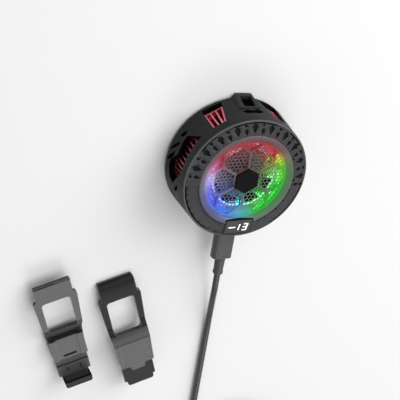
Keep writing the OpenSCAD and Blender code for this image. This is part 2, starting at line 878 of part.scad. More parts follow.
function polar(r, a) = [r * cos(a), r * sin(a)];
function seg_dist(p, a, b) =
    let (ab = b - a, t = max(0, min(1, (p - a) * ab / (ab * ab))))
    norm(p - a - t * ab);
ribs = [for (a = spoke_angles) each [
    [polar(hex_r - 1, a), polar(fork_r, a)],
    [polar(fork_r, a), polar(grille_r - 0.5, a - fork_angle)],
    [polar(fork_r, a), polar(grille_r - 0.5, a + fork_angle)]
]];
// The panel behind the display has no holes
function in_solid_panel(p) = p[1] < -fork_r && abs(p[0]) < solid_half_w;
function rib_gap(p) = min([for (rib = ribs) seg_dist(p, rib[0], rib[1])]);
mesh_rows = ceil(grille_r / (mesh_pitch * sqrt(3) / 2));
mesh_holes = [
    for (j = [-mesh_rows : mesh_rows], i = [-mesh_rows : mesh_rows])
        let (p = [(i + (j % 2 == 0 ? 0 : 0.5)) * mesh_pitch, j * mesh_pitch * sqrt(3) / 2])
        if (norm(p) > hex_r - 0.3 && norm(p) < grille_r - mesh_rim
            && !in_solid_panel(p) && rib_gap(p) > mesh_margin) p
];

module rib_2d(a, b) {
    translate(a)
        rotate(atan2(b[1] - a[1], b[0] - a[0]))
            translate([0, -rib_w / 2]) square([norm(b - a), rib_w]);
}

module grille() {
    color([0.15, 0.15, 0.16]) {
        translate([0, 0, z_grille])
            linear_extrude(plate_t)
                difference() {
                    circle(grille_r);
                    for (p = mesh_holes)
                        translate(p) rotate(30) circle(d = mesh_hole_d, $fn = 6);
                }
        translate([0, 0, z_grille + plate_t / 2])
            rotate(30) cylinder(r = hex_r, h = hub_z - z_grille - plate_t / 2, $fn = 6);
        intersection() {
            translate([0, 0, z_grille + plate_t / 2])
                linear_extrude(4) {
                    for (rib = ribs)
                        rib_2d(rib[0], rib[1]);
                    difference() {
                        circle(grille_r);
                        circle(grille_r - 1);
                    }
                }
            rotate_extrude()
                polygon([[0, z_grille], [grille_r + 1, z_grille], [grille_r + 1, crest_z - 1.4],
                         [grille_r - 0.5, crest_z - 1.2], [hex_r, hub_z], [0, hub_z]]);
        }
    }
}

module hub_cap() {
    color([0.08, 0.08, 0.08])
    rotate(30)
    translate([0, 0, hub_z]) {
        cylinder(r = hex_r - 0.2, h = cap_t / 2, $fn = 6);
        translate([0, 0, cap_t / 2 - eps]) cylinder(r = hex_r - 0.7, h = cap_t / 2, $fn = 6);
    }
}

// Display
module_w = lens_w - 1;
module_out = min(lens_h / 2 - 0.5 - lens_y, sqrt(bore_r * bore_r - module_w * module_w / 4) - 0.3);

module display_module() {
    color([0.2, 0.2, 0.2])
    translate([-module_w / 2, -module_out, z_led])
        cube([module_w, module_out + lens_y + lens_h / 2 - 0.9, z_grille + 0.4 - z_led]);
}

module display_lens() {
    color([0.03, 0.03, 0.03]) display_block(lens_w, lens_h, z_grille + 0.4, 0);
}

// Seven-segment strokes: place of the middle, and whether it stands upright
function strokes(digit) =
    digit == "-" ? [[0, 0, false]] :
    digit == "1" ? [[1, 0.5, true], [1, -0.5, true]] :
    [[0, 1, false], [0, 0, false], [0, -1, false], [1, 0.5, true], [1, -0.5, true]];
digit_places = [-3.3, -0.85, 2.95];
dash_w = 3.6;
digit_lean = 8;
digit_film = 0.15;

module stroke(s, w) {
    arm = s[2] ? digit_h / 2 - stroke_w - 0.1 : w - stroke_w - 0.1;
    translate([s[0] * (digit_w - stroke_w) / 2, s[1] * (digit_h - stroke_w) / 2])
        rotate(s[2] ? 90 : 0)
            polygon([
                [-arm / 2, -stroke_w / 2], [arm / 2, -stroke_w / 2], [arm / 2 + stroke_w / 2, 0],
                [arm / 2, stroke_w / 2], [-arm / 2, stroke_w / 2], [-arm / 2 - stroke_w / 2, 0]
            ]);
}

module display_digits() {
    shown = "-13";
    color([0.95, 0.97, 1])
    translate([0, lens_y, lens_face_z])
        rotate([lens_tilt, 0, 0])
            linear_extrude(digit_film)
                multmatrix([[1, tan(digit_lean), 0, 0], [0, 1, 0, 0], [0, 0, 1, 0], [0, 0, 0, 1]])
                    for (i = [0 : len(shown) - 1])
                        translate([digit_places[i], 0])
                            for (s = strokes(shown[i]))
                                stroke(s, shown[i] == "-" ? dash_w : digit_w);
}

// Lead: plug, strain relief, free stretch and coil
grip_gap = 0.4;
grip_y = -(wall_r(plug_z) + grip_gap);
grip_r = 1.9;
relief_len = 9;
relief_d = 5;
collar_len = 1.2;
lead_y = grip_y - grip_len - relief_len;
route_sides = 8;
coil_sides = 6;
coil_z = 1.9;
coil_x = 4.5;
coil_y = -174;
end_run = lead_d;
tail_len = 22;
usb_a_z = 3.8;

// Points that the free stretch follows, chosen by hand, after it leaves the strain relief
route_start = [[0, lead_y, plug_z], [0, lead_y - end_run, plug_z]];
route_mid = [
    [0.4, -64, 9.8], [1.2, -70, 8.2], [2.2, -76, 6.1], [3.2, -82, 4.1], [4, -88, 2.5], [4.4, -94, 1.8],
    [4.5, -100, 1.6], [4.5, -108, 1.6], [4.5, -116, 1.6], [4.5, -124, 1.6], [4.5, -132, 1.6],
    [4.5, -140, 1.6], [4.5, -148, 1.6], [4.5, -156, 1.7], [4.5, -163, 1.8]
];
route_end = [[coil_x, coil_y + 2 * end_run, coil_z], [coil_x, coil_y + end_run, coil_z]];
route = concat(route_start, route_mid, route_end);

// The coil spirals in on the lower layer, climbs in the half turn where it reverses, and spirals out
loop_steps = 24;
coil_turns = turns_in + turns_out;
coil_r0 = coil_inner_r + turn_pitch * turns_in;
coil_cx = coil_x + coil_r0;
function ease(t) = t <= 0 ? 0 : t >= 1 ? 1 : t * t * (3 - 2 * t);
function coil_r(t) = coil_inner_r + turn_pitch * abs(t - turns_in);
function coil_point(t) =
    let (a = 180 + 360 * t, r = coil_r(t))
    [coil_cx + r * cos(a), coil_y + r * sin(a), coil_z + turn_pitch * ease((t - turns_in) * 2 + 0.5)];
coil_end = coil_point(coil_turns);
tail_angle = 180 + 360 * coil_turns + 90;
tail_dir = [cos(tail_angle), sin(tail_angle), 0];
function tail_point(s) =
    let (p = coil_end + s * tail_dir)
    [p[0], p[1], coil_end[2] + (usb_a_z - coil_end[2]) * ease(s / (tail_len - 2 * end_run))];
tail_steps = 6;
tail_end = tail_point(tail_len);
coil_path = concat(
    [[coil_x, coil_y + end_run, coil_z]],
    [for (i = [0 : round(coil_turns * loop_steps)]) coil_point(i / loop_steps)],
    [for (i = [1 : tail_steps]) tail_point(i * tail_len / tail_steps)]
);
coil_gap = min([
    for (i = [0 : len(coil_path) - 1], j = [i + loop_steps / 2 : 1 : len(coil_path) - 1])
        norm(coil_path[i] - coil_path[j])
]) - lead_d;
echo(least_gap_in_coil = coil_gap);
function path_len(p) =
    let (d = [for (i = [1 : len(p) - 1]) norm(p[i] - p[i - 1])])
    d * [for (x = d) 1];
echo(lead_length = path_len(route) + path_len(coil_path));

// Closed tube of n sides along a path, with its end faces square to the path
module swept_tube(path, d, n) {
    last = len(path) - 1;
    points = [
        for (i = [0 : last])
            let (
                run = unit(path[min(i + 1, last)] - path[max(i - 1, 0)]),
                side = unit(cross(run, [0, 0, 1])),
                up = cross(side, run)
            )
            for (k = [0 : n - 1])
                let (a = 360 * (k + 0.5) / n + (n == coil_sides ? 30 : 0))
                path[i] + d / 2 * (cos(a) * side + sin(a) * up)
    ];
    sides = [
        for (i = [0 : last - 1], k = [0 : n - 1])
            let (a = i * n + k, b = i * n + (k + 1) % n)
            each [[a, b, a + n], [b, b + n, a + n]]
    ];
    caps = [
        for (k = [1 : n - 2])
            each [[0, k + 1, k], [last * n, last * n + k, last * n + k + 1]]
    ];
    polyhedron(points, concat(sides, caps));
}

module plug_shell() {
    color([0.78, 0.78, 0.8])
    translate([0, 0, plug_z])
    difference() {
        bar_y(grip_y + plug_len, plug_len) round_rect(plug_w, plug_h, plug_h / 2 - eps);
        bar_y(grip_y + plug_len + 1, plug_len)
            round_rect(plug_w - 2 * sheet_t, plug_h - 2 * sheet_t, plug_h / 2 - sheet_t - eps);
    }
}

rib_count = 3;
grip_rib_w = 0.8;

module plug_body() {
    color([0.27, 0.27, 0.28])
    translate([0, 0, plug_z])
    difference() {
        bar_y(grip_y, grip_len) round_rect(grip_w, grip_h, grip_r);
        for (x = [-1, 1], z = [-1, 1])
            translate([x * grip_w / 3.2, grip_y - grip_len / 2, z * grip_h / 2])
                cube([grip_rib_w, grip_len - 4, 0.5], center = true);
    }
}

module strain_relief() {
    color([0.25, 0.25, 0.26])
    translate([0, grip_y - grip_len, plug_z]) rotate([90, 0, 0])
    difference() {
        union() {
            cylinder(d1 = relief_d, d2 = relief_d - 0.7, h = relief_len);
            translate([0, 0, relief_len - collar_len]) cylinder(d = relief_d - 0.2, h = collar_len);
        }
        translate([0, 0, 0.5]) tube(2 * relief_d, relief_d - 0.8, 0.5);
    }
}

module lead() {
    color([0.22, 0.22, 0.23]) swept_tube(route, lead_d, route_sides);
}

module lead_coil() {
    color([0.22, 0.22, 0.23]) swept_tube(coil_path, lead_d, coil_sides);
}

tie_w = 8;
tie_t = 0.5;
tie_in = coil_inner_r - lead_d / 2 - 1.4;
tie_out = coil_inner_r + turn_pitch * turns_out + lead_d / 2 + 0.5;
tie_top = coil_z + turn_pitch + lead_d / 2 + 0.4;

module tie() {
    color([0.1, 0.1, 0.1])
    translate([coil_cx + tie_in - tie_t, coil_y - tie_w / 2, 0])
    difference() {
        cube([tie_out - tie_in + 2 * tie_t, tie_w, tie_top + tie_t]);
        translate([tie_t, -1, tie_t]) cube([tie_out - tie_in, tie_w + 2, tie_top - tie_t]);
    }
}

usb_a_relief_len = 8;
usb_a_body = [15.6, 20, 2 * usb_a_z];
usb_a_shell_size = [12, 12, 4.5];

// Frame at the far end of the lead, with -Y along the lead
module at_tail() {
    translate(tail_end) rotate([0, 0, tail_angle + 90]) children();
}

module usb_a_relief() {
    color([0.25, 0.25, 0.26])
    at_tail() rotate([90, 0, 0])
    difference() {
        cylinder(d1 = relief_d - 0.6, d2 = relief_d + 0.6, h = usb_a_relief_len);
        for (i = [0 : rib_count - 1])
            translate([0, 0, 1.4 + i * 2]) tube(2 * relief_d, relief_d - 1, 0.8);
    }
}

module usb_a_plug() {
    color([0.27, 0.27, 0.28])
    at_tail()
        bar_y(-usb_a_relief_len, usb_a_body[1]) round_rect(usb_a_body[0], usb_a_body[2], grip_r);
}

module usb_a_shell() {
    color([0.78, 0.78, 0.8])
    at_tail()
    difference() {
        bar_y(-usb_a_relief_len - usb_a_body[1], usb_a_shell_size[1])
            square([usb_a_shell_size[0], usb_a_shell_size[2]], center = true);
        bar_y(-usb_a_relief_len - usb_a_body[1] - sheet_t, usb_a_shell_size[1])
            difference() {
                square(
                    [usb_a_shell_size[0] - 2 * sheet_t, usb_a_shell_size[2] - 2 * sheet_t],
                    center = true
                );
                translate([0, -usb_a_shell_size[2] / 2 + 1])
                    square([usb_a_shell_size[0] - 1, 1.9], center = true);
            }
    }
}

// Clips, drawn with the outer side up, the top tab at y = 0 and the hook towards -Y
tab_len = 9.2;
tab_step = 4.5;
tab_curl = 1.2;
curl_len = 2.6;
bar_w = 3.5;
window_start = 11.2;
window_end = 29.5;
step_start = 26;
step_end = 35;
panel_end = clip_len - 13;
panel_w = 0.8 * clip_w;
panel_z = clip_h - clip_t;
tab_z = panel_z - tab_step;
jaw_w = panel_w - 4;
jaw_t = 2;
jaw_start = step_end + 0.3;
hook_block_w = 15.4;
rail_drop = 3.3;
rail_lip = 1.2;
rail_lip_t = 0.8;
hook_t = 2.4;
hook_w = 13;
hook_len = 6;
hook_lip = 4;
hook_lip_t = 1.6;
foam_t = 0.8;
neck_len = 3;
neck_t = 1.1;
hook_block_len = clip_len - hook_t - 1.4 - panel_end;
jaw_top = panel_z - jaw_fit;
jaw_z = jaw_top - jaw_t;

// Side outline of the frame: curled tab, S-bars, panel
function s_curve(y0, y1, z0, z1, n) =
    [for (i = [0 : n]) [y0 + (y1 - y0) * i / n, z0 + (z1 - z0) * ease(i / n)]];
frame_outline = concat(
    [[0.3, tab_z - tab_curl], [curl_len, tab_z]],
    s_curve(step_start, step_end, tab_z, panel_z, 8),
    [[panel_end, panel_z], [panel_end, clip_h - 0.6], [panel_end - 0.6, clip_h]],
    s_curve(step_end - 0.8, step_start - 0.8, clip_h, tab_z + clip_t, 8),
    [[curl_len, tab_z + clip_t], [0.6, tab_z + clip_t - tab_curl], [0, tab_z + clip_t - tab_curl - 0.7]]
);

// Outline seen from above: tab, shoulders, tapering panel
module clip_plan() {
    difference() {
        union() {
            translate([0, -tab_len / 2 - 1]) round_rect(tab_w, tab_len + 2, 1.8);
            translate([0, -tab_len - 2]) round_rect(clip_w, 4, 1.6);
            polygon([
                [-clip_w / 2, -tab_len - 2], [clip_w / 2, -tab_len - 2], [panel_w / 2, -panel_end + 1],
                [panel_w / 2 - 1, -panel_end], [1 - panel_w / 2, -panel_end], [-panel_w / 2, -panel_end + 1]
            ]);
        }
        translate([0, -(window_start + window_end) / 2])
            round_rect(clip_w - 2 * bar_w, window_end - window_start, 1.6);
    }
}

module clip_frame() {
    rail_x = jaw_w / 2 + jaw_fit;
    rail_len = panel_end - step_end - 1;
    difference() {
        intersection() {
            across(clip_w + 1) polygon([for (p = frame_outline) [-p[0], p[1]]]);
            linear_extrude(clip_h + 1) clip_plan();
        }
        for (x = [-1, 1])
            translate([x * (panel_w / 2 - 1.9) - 0.25, 1.5 - panel_end, clip_h - 0.4])
                cube([0.5, rail_len, 1]);
    }
    translate([0, -panel_end, panel_z]) linear_extrude(clip_t - 0.4) polygon(tongue_pts);
    for (side = [-1, 1])
        mirror([side < 0 ? 1 : 0, 0, 0]) {
            translate([rail_x, 1 - panel_end, panel_z - rail_drop])
                cube([panel_w / 2 - rail_x, rail_len, rail_drop + eps]);
            translate([rail_x - rail_lip, 1 - panel_end, panel_z - rail_drop])
                cube([rail_lip + eps, rail_len, rail_lip_t]);
        }
}

// Tongue in the middle of the panel's end
tongue_pts = [[-4, 1], [-3, -2.2], [3, -2.2], [4, 1]];

// Side outline of the hook
module hook_outline() {
    difference() {
        translate([hook_len / 2 - clip_len, jaw_top / 2]) round_rect(hook_len, jaw_top, 1.6);
        translate([hook_t - clip_len, hook_lip_t]) square([hook_len, jaw_z - hook_lip_t]);
        translate([hook_lip - clip_len, -1]) square([hook_len, hook_lip_t + 2]);
    }
}

module clip_jaw() {
    difference() {
        union() {
            translate([-jaw_w / 2, hook_lip - clip_len, jaw_z])
                cube([jaw_w, clip_len - hook_lip - jaw_start, jaw_t]);
            translate([-hook_block_w / 2, hook_t + 1 - clip_len, jaw_z]) cube([hook_block_w, hook_block_len, jaw_t]);
            intersection() {
                across(hook_w) hook_outline();
                translate([0, hook_len - clip_len, -1]) linear_extrude(clip_h) round_rect(hook_w, 2 * hook_len, 2.2);
            }
        }
        translate([-clip_w / 2, -panel_end - 0.4 - neck_len, jaw_z - 1]) cube([clip_w, neck_len + 1, 3 - neck_t]);
        translate([-3, -jaw_start - 11, jaw_z - 1]) cube([6, 1, 2]);
        for (x = [-3, 3])
            translate([x - 0.4, hook_t + 2 - clip_len, jaw_z - 1]) cube([0.8, 3.4, 1.6]);
    }
}

module clip_pad() {
    translate([-jaw_w / 2 + 0.5, hook_t - clip_len, hook_lip_t])
        cube([jaw_w - 1, foam_t, jaw_z - hook_lip_t]);
}

// Where the two clips lie: clip a flat with its inner side up, clip b on its hook and its curled tab
clip_a_at = [-78.8, -54.7, 0];
clip_b_at = [-46.95, -60.05, 0];
clip_turn = 17.5;
rest_y = hook_lip - clip_len;
rest_tilt = atan((tab_z - tab_curl) / (-rest_y - 0.3));

module at_clip_a() {
    translate(clip_a_at) rotate([0, 0, clip_turn]) translate([0, 0, clip_h]) rotate([0, 180, 0]) children();
}

module at_clip_b() {
    translate(clip_b_at)
        rotate([0, 0, clip_turn])
            translate([0, rest_y, 0]) rotate([-rest_tilt, 0, 0]) translate([0, -rest_y, 0]) children();
}

module clip_a_frame() {
    color([0.36, 0.36, 0.37]) at_clip_a() clip_frame();
}

module clip_a_jaw() {
    color([0.3, 0.3, 0.31]) at_clip_a() clip_jaw();
}

module clip_a_pad() {
    color([0.06, 0.06, 0.06]) at_clip_a() clip_pad();
}

module clip_b_frame() {
    color([0.3, 0.3, 0.31]) at_clip_b() clip_frame();
}

module clip_b_jaw() {
    color([0.2, 0.2, 0.21]) at_clip_b() clip_jaw();
}

module clip_b_pad() {
    color([0.06, 0.06, 0.06]) at_clip_b() clip_pad();
}

housing();
clip_bracket();
vent_bars();
grip_pad();
back_cover();
ring_magnets();
cold_plate();
clamp_screws();
thermal_pad();
tec_cold_ceramic();
tec_legs();
tec_hot_ceramic();
foam_frame();
heat_sink();
fan_base();
fan_screws();
bearing();
motor_board();
stator_core();
stator_windings();
shaft();
rotor_cup();
rotor_magnet();
impeller();
board_pad();
main_board();
board_parts();
usb_socket();
usb_tongue();
mid_plate();
led_board();
leds();
light_ring();
bezel();
funnel_ring();
grille();
hub_cap();
display_module();
display_lens();
display_digits();
plug_shell();
plug_body();
strain_relief();
lead();
lead_coil();
tie();
usb_a_relief();
usb_a_plug();
usb_a_shell();
clip_a_frame();
clip_a_jaw();
clip_a_pad();
clip_b_frame();
clip_b_jaw();
clip_b_pad();
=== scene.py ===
import math
import bpy
from mathutils import Matrix, Vector


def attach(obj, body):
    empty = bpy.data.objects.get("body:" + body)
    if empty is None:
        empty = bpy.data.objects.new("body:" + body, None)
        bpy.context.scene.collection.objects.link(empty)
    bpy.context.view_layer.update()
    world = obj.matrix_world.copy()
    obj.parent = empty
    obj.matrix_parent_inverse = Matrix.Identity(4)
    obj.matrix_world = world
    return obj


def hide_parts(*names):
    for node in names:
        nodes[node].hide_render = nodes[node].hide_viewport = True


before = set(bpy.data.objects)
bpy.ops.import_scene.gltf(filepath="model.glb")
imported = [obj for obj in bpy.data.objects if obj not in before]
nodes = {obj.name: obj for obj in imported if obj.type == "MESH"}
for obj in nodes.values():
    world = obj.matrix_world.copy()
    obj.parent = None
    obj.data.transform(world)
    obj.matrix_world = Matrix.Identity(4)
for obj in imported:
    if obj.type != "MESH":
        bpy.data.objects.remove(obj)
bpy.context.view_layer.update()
mm = 0.001
print("frame loaded:", len(nodes), "nodes")


# camera, as solved from the two rims of the drum
photoCamera = {
    "right": (0.922108, 0.142858, 0.359655),
    "up": (0.067117, 0.856494, -0.511673),
    "back": (-0.381080, 0.495838, 0.780190),
    "place": (-0.213232, 0.242575, 0.416226),
    "lens": 106.104,
    "sensor": 36,
    "nearest": 0.01,
}


def makeCamera(view):
    bpy.ops.object.camera_add(location=view["place"])
    camera = bpy.context.active_object
    camera.name = "photoCamera"
    axes = Matrix((view["right"], view["up"], view["back"])).transposed()
    camera.rotation_euler = axes.to_euler()
    camera.data.lens = view["lens"]
    camera.data.sensor_width = view["sensor"]
    camera.data.clip_start = view["nearest"]
    bpy.context.scene.camera = camera


makeCamera(photoCamera)
print("camera placed")


# materials: small helpers first
def newMaterial(name, colour, rough, metal=0.0):
    material = bpy.data.materials.new(name)
    material.use_nodes = True
    shader = material.node_tree.nodes["Principled BSDF"]
    shader.inputs["Base Color"].default_value = (*colour, 1)
    shader.inputs["Roughness"].default_value = rough
    shader.inputs["Metallic"].default_value = metal
    return material


def shaderOf(material):
    return material.node_tree.nodes["Principled BSDF"]


def addNode(material, kind, **values):
    node = material.node_tree.nodes.new(kind)
    for key, value in values.items():
        setattr(node, key, value)
    return node


def join(material, outSocket, inSocket):
    material.node_tree.links.new(outSocket, inSocket)


def coords(material, stretch=(1, 1, 1), turn=(0, 0, 0)):
    texture = addNode(material, "ShaderNodeTexCoord")
    mapping = addNode(material, "ShaderNodeMapping")
    mapping.inputs["Scale"].default_value = stretch
    mapping.inputs["Rotation"].default_value = turn
    join(material, texture.outputs["Object"], mapping.inputs["Vector"])
    return mapping.outputs["Vector"]


def noise(material, scale, detail=3, stretch=(1, 1, 1), turn=(0, 0, 0)):
    node = addNode(material, "ShaderNodeTexNoise")
    node.inputs["Scale"].default_value = scale
    node.inputs["Detail"].default_value = detail
    join(material, coords(material, stretch, turn), node.inputs["Vector"])
    return node.outputs["Fac"]


def maths(material, operation, first, second=None):
    node = addNode(material, "ShaderNodeMath", operation=operation)
    for socket, value in zip(node.inputs, (first, second)):
        if value is None:
            continue
        if isinstance(value, (int, float)):
            socket.default_value = value
        else:
            join(material, value, socket)
    return node.outputs[0]


def mapped(material, source, low, high, toLow, toHigh):
    node = addNode(material, "ShaderNodeMapRange")
    for name, value in (("From Min", low), ("From Max", high), ("To Min", toLow), ("To Max", toHigh)):
        node.inputs[name].default_value = value
    join(material, source, node.inputs["Value"])
    return node.outputs["Result"]


def mixed(material, factor, first, second, blend="MIX"):
    node = addNode(material, "ShaderNodeMix", data_type="RGBA", blend_type=blend)
    for name, value in (("Factor_Float", factor), ("A_Color", first), ("B_Color", second)):
        socket = next(s for s in node.inputs if s.identifier == name)
        if isinstance(value, (int, float)):
            socket.default_value = value
        elif isinstance(value, tuple):
            socket.default_value = (*value, 1)
        else:
            join(material, value, socket)
    return next(s for s in node.outputs if s.identifier == "Result_Color")


def bump(material, height, strength, distance):
    node = addNode(material, "ShaderNodeBump")
    node.inputs["Strength"].default_value = strength
    node.inputs["Distance"].default_value = distance
    join(material, height, node.inputs["Height"])
    join(material, node.outputs["Normal"], shaderOf(material).inputs["Normal"])


def setInput(material, name, value):
    shaderOf(material).inputs[name].default_value = value


def feed(material, name, source):
    join(material, source, shaderOf(material).inputs[name])


def setGlow(material, tint, strength):
    feed(material, "Emission Color", tint)
    setInput(material, "Emission Strength", strength)


def paler(colour, by):
    return tuple(min(1.0, c * by) for c in colour)


def placeParts(material):
    texture = addNode(material, "ShaderNodeTexCoord")
    parts = addNode(material, "ShaderNodeSeparateXYZ")
    join(material, texture.outputs["Object"], parts.inputs[0])
    return parts.outputs["X"], parts.outputs["Y"], parts.outputs["Z"]


def angleAndRadius(material):
    x, y = placeParts(material)[:2]
    squares = [maths(material, "MULTIPLY", c, c) for c in (x, y)]
    return maths(material, "ARCTAN2", y, x), maths(material, "SQRT", maths(material, "ADD", *squares))


def facingUp(material):
    parts = addNode(material, "ShaderNodeSeparateXYZ")
    join(material, addNode(material, "ShaderNodeNewGeometry").outputs["Normal"], parts.inputs[0])
    return parts.outputs["Z"]


# an edge counts as rubbed, and as catching a painted highlight, where the rounded normal turns away from the
# face's own
edgeWearAndHighlight = {"samples": 6, "flat": 0.995, "round": 0.9}


def edgeMask(material, radius):
    bevel = addNode(material, "ShaderNodeBevel", samples=edgeWearAndHighlight["samples"])
    bevel.inputs["Radius"].default_value = radius
    geometry = addNode(material, "ShaderNodeNewGeometry")
    dot = addNode(material, "ShaderNodeVectorMath", operation="DOT_PRODUCT")
    join(material, bevel.outputs["Normal"], dot.inputs[0])
    join(material, geometry.outputs["Normal"], dot.inputs[1])
    return mapped(material, dot.outputs["Value"], edgeWearAndHighlight["flat"], edgeWearAndHighlight["round"], 0.0, 1.0)


# moulded plastic: spark-eroded grain, slow tone drift, edges lightened as rubbed wear and painted highlight
mouldLook = {
    "driftScale": 90, "driftDark": 0.82, "driftPale": 1.2,
    "speckScale": 0.6, "speckFrom": 0.62, "speckTo": 0.75, "speckMost": 0.35, "speckPale": 1.5,
    "rubAndHighlightScale": 700, "patchScale": 260, "patchFrom": 0.3, "patchTo": 0.7, "grainBump": 0.5,
}


def mouldedPlastic(
    name, colour, rough, grain=3800, depth=0.00005, rubAndHighlight=1.7, rubAndHighlightRadius=0.0005, shine=0.3, patchy=0.075
):
    look = mouldLook
    material = newMaterial(name, colour, rough)
    setInput(material, "Specular IOR Level", shine)
    drift = noise(material, look["driftScale"], 4)
    tone = mixed(material, drift, paler(colour, look["driftDark"]), paler(colour, look["driftPale"]))
    specks = noise(material, grain * look["speckScale"], 2)
    specks = mapped(material, specks, look["speckFrom"], look["speckTo"], 0.0, look["speckMost"])
    tone = mixed(material, specks, tone, paler(colour, look["speckPale"]))
    # edges lightened: partly rubbed wear, partly a painted highlight
    rubAndHighlightShare = maths(material, "MULTIPLY", edgeMask(material, rubAndHighlightRadius), noise(material, look["rubAndHighlightScale"], 3))
    feed(material, "Base Color", mixed(material, rubAndHighlightShare, tone, paler(colour, rubAndHighlight)))
    patches = noise(material, look["patchScale"], 5)
    uneven = mapped(material, patches, look["patchFrom"], look["patchTo"], rough - patchy, rough + patchy)
    feed(material, "Roughness", uneven)
    bump(material, noise(material, grain, 2), look["grainBump"], depth)
    return material


# metal: drawn or brushed lines, which vary its tone and its roughness
metalLook = {
    "dark": 0.8, "pale": 1.15, "lineFrom": 0.3, "lineTo": 0.7, "smoother": 0.08, "rougher": 0.1,
    "lineBump": 0.25, "lineDepth": 0.00002,
}


def metal(name, colour, rough, stretch=(1, 1, 1), scale=2500):
    look = metalLook
    material = newMaterial(name, colour, rough, 1.0)
    lines = noise(material, scale, 3, stretch)
    tone = mixed(material, lines, paler(colour, look["dark"]), paler(colour, look["pale"]))
    feed(material, "Base Color", tone)
    least, most = rough - look["smoother"], rough + look["rougher"]
    feed(material, "Roughness", mapped(material, lines, look["lineFrom"], look["lineTo"], least, most))
    bump(material, lines, look["lineBump"], look["lineDepth"])
    return material


# grain of the finely moulded pieces, and the width of a worn edge with its painted highlight
fineGrain, wideRubAndHighlight = 5200, 0.0006
drumPlastic = mouldedPlastic("drumPlastic", (0.0075, 0.008, 0.0085), 0.5, rubAndHighlight=3, shine=0.18)
bracketPlastic = mouldedPlastic("bracketPlastic", (0.009, 0.0095, 0.01), 0.46, rubAndHighlight=3, shine=0.25)
coverPlastic = mouldedPlastic("coverPlastic", (0.012, 0.012, 0.013), 0.55)
bezelPlastic = mouldedPlastic("bezelPlastic", (0.036, 0.0348, 0.0378), 0.45, rubAndHighlight=2.2, shine=0.16)
# the clip, jaw and plug plastics have their edges lightened strongly, mostly as painted highlight
clipPlastic = mouldedPlastic(
    "clipPlastic", (0.022, 0.022, 0.0224), 0.16, grain=fineGrain, depth=0.000003, rubAndHighlight=7, rubAndHighlightRadius=wideRubAndHighlight,
    shine=0.38, patchy=0.015,
)
jawPlastic = mouldedPlastic(
    "jawPlastic", (0.0045, 0.0045, 0.0047), 0.2, grain=fineGrain, depth=0.000003, rubAndHighlight=34, rubAndHighlightRadius=wideRubAndHighlight,
    shine=0.12, patchy=0.015,
)
plugPlastic = mouldedPlastic(
    "plugPlastic", (0.02, 0.019, 0.021), 0.36, grain=4600, depth=0.00002, rubAndHighlight=6, rubAndHighlightRadius=wideRubAndHighlight,
    shine=0.5, patchy=0.04,
)
blackPlastic = mouldedPlastic("blackPlastic", (0.006, 0.006, 0.0065), 0.5, shine=0.2)
gripRubber = mouldedPlastic("gripRubber", (0.01, 0.01, 0.01), 0.75, grain=2600, shine=0.2)
sheathRubber = mouldedPlastic(
    "sheathRubber", (0.012, 0.0117, 0.0126), 0.26, grain=fineGrain, depth=0.00001, shine=0.45, patchy=0.03,
)
# near-black plastic laid on the drum's recesses as painted shade
recessShadeBlack = mouldedPlastic("recessShadeBlack", (0.0016, 0.0016, 0.0017), 0.75, rubAndHighlight=1.2, shine=0.04)
# paler matte plastic, laid as painted light on shaded faces of the clips
clipLitMatte = mouldedPlastic(
    "clipLitMatte", (0.05, 0.05, 0.0508), 0.5, grain=fineGrain, depth=0.00001, rubAndHighlight=1.5, shine=0.3,
)
# dark plastic for the front band's recesses, as painted shade
bandRecessShade = mouldedPlastic("bandRecessShade", (0.009, 0.009, 0.0095), 0.6, rubAndHighlight=1.2, shine=0.05)
print("plastics mixed")

steelSheet = metal("steelSheet", (0.4, 0.4, 0.42), 0.34, (1, 8, 1))
screwSteel = metal("screwSteel", (0.5, 0.5, 0.52), 0.35)
platedMagnet = metal("platedMagnet", (0.62, 0.61, 0.6), 0.28)
brushedPlate = metal("brushedPlate", (0.78, 0.79, 0.8), 0.32, (0.06, 1, 1), 4000)
sinteredBronze = metal("sinteredBronze", (0.6, 0.4, 0.22), 0.45)
windingCopper = metal("windingCopper", (0.62, 0.26, 0.1), 0.3, (1, 1, 0.1), 6000)
# the red of the fins and bars stands in for the red LED light on them, as painted light; the bars are tinted
# paler than the fins
finsPaintedLedLight = metal("finsPaintedLedLight", (0.46, 0.12, 0.14), 0.34, (1, 1, 0.08), 3500)
barsPaintedLedLight = metal("barsPaintedLedLight", (0.72, 0.21, 0.26), 0.36, (1, 1, 0.08), 3500)
print("metals mixed")


# fillings, boards and the tie: two tones in grains
speckleLook = {"detail": 4, "grainFrom": 0.4, "grainTo": 0.6, "grainBump": 0.5}


def speckled(name, colour, other, rough, scale, depth):
    look = speckleLook
    material = newMaterial(name, colour, rough)
    grains = noise(material, scale, look["detail"])
    share = mapped(material, grains, look["grainFrom"], look["grainTo"], 0, 1)
    feed(material, "Base Color", mixed(material, share, colour, other))
    bump(material, grains, look["grainBump"], depth)
    return material


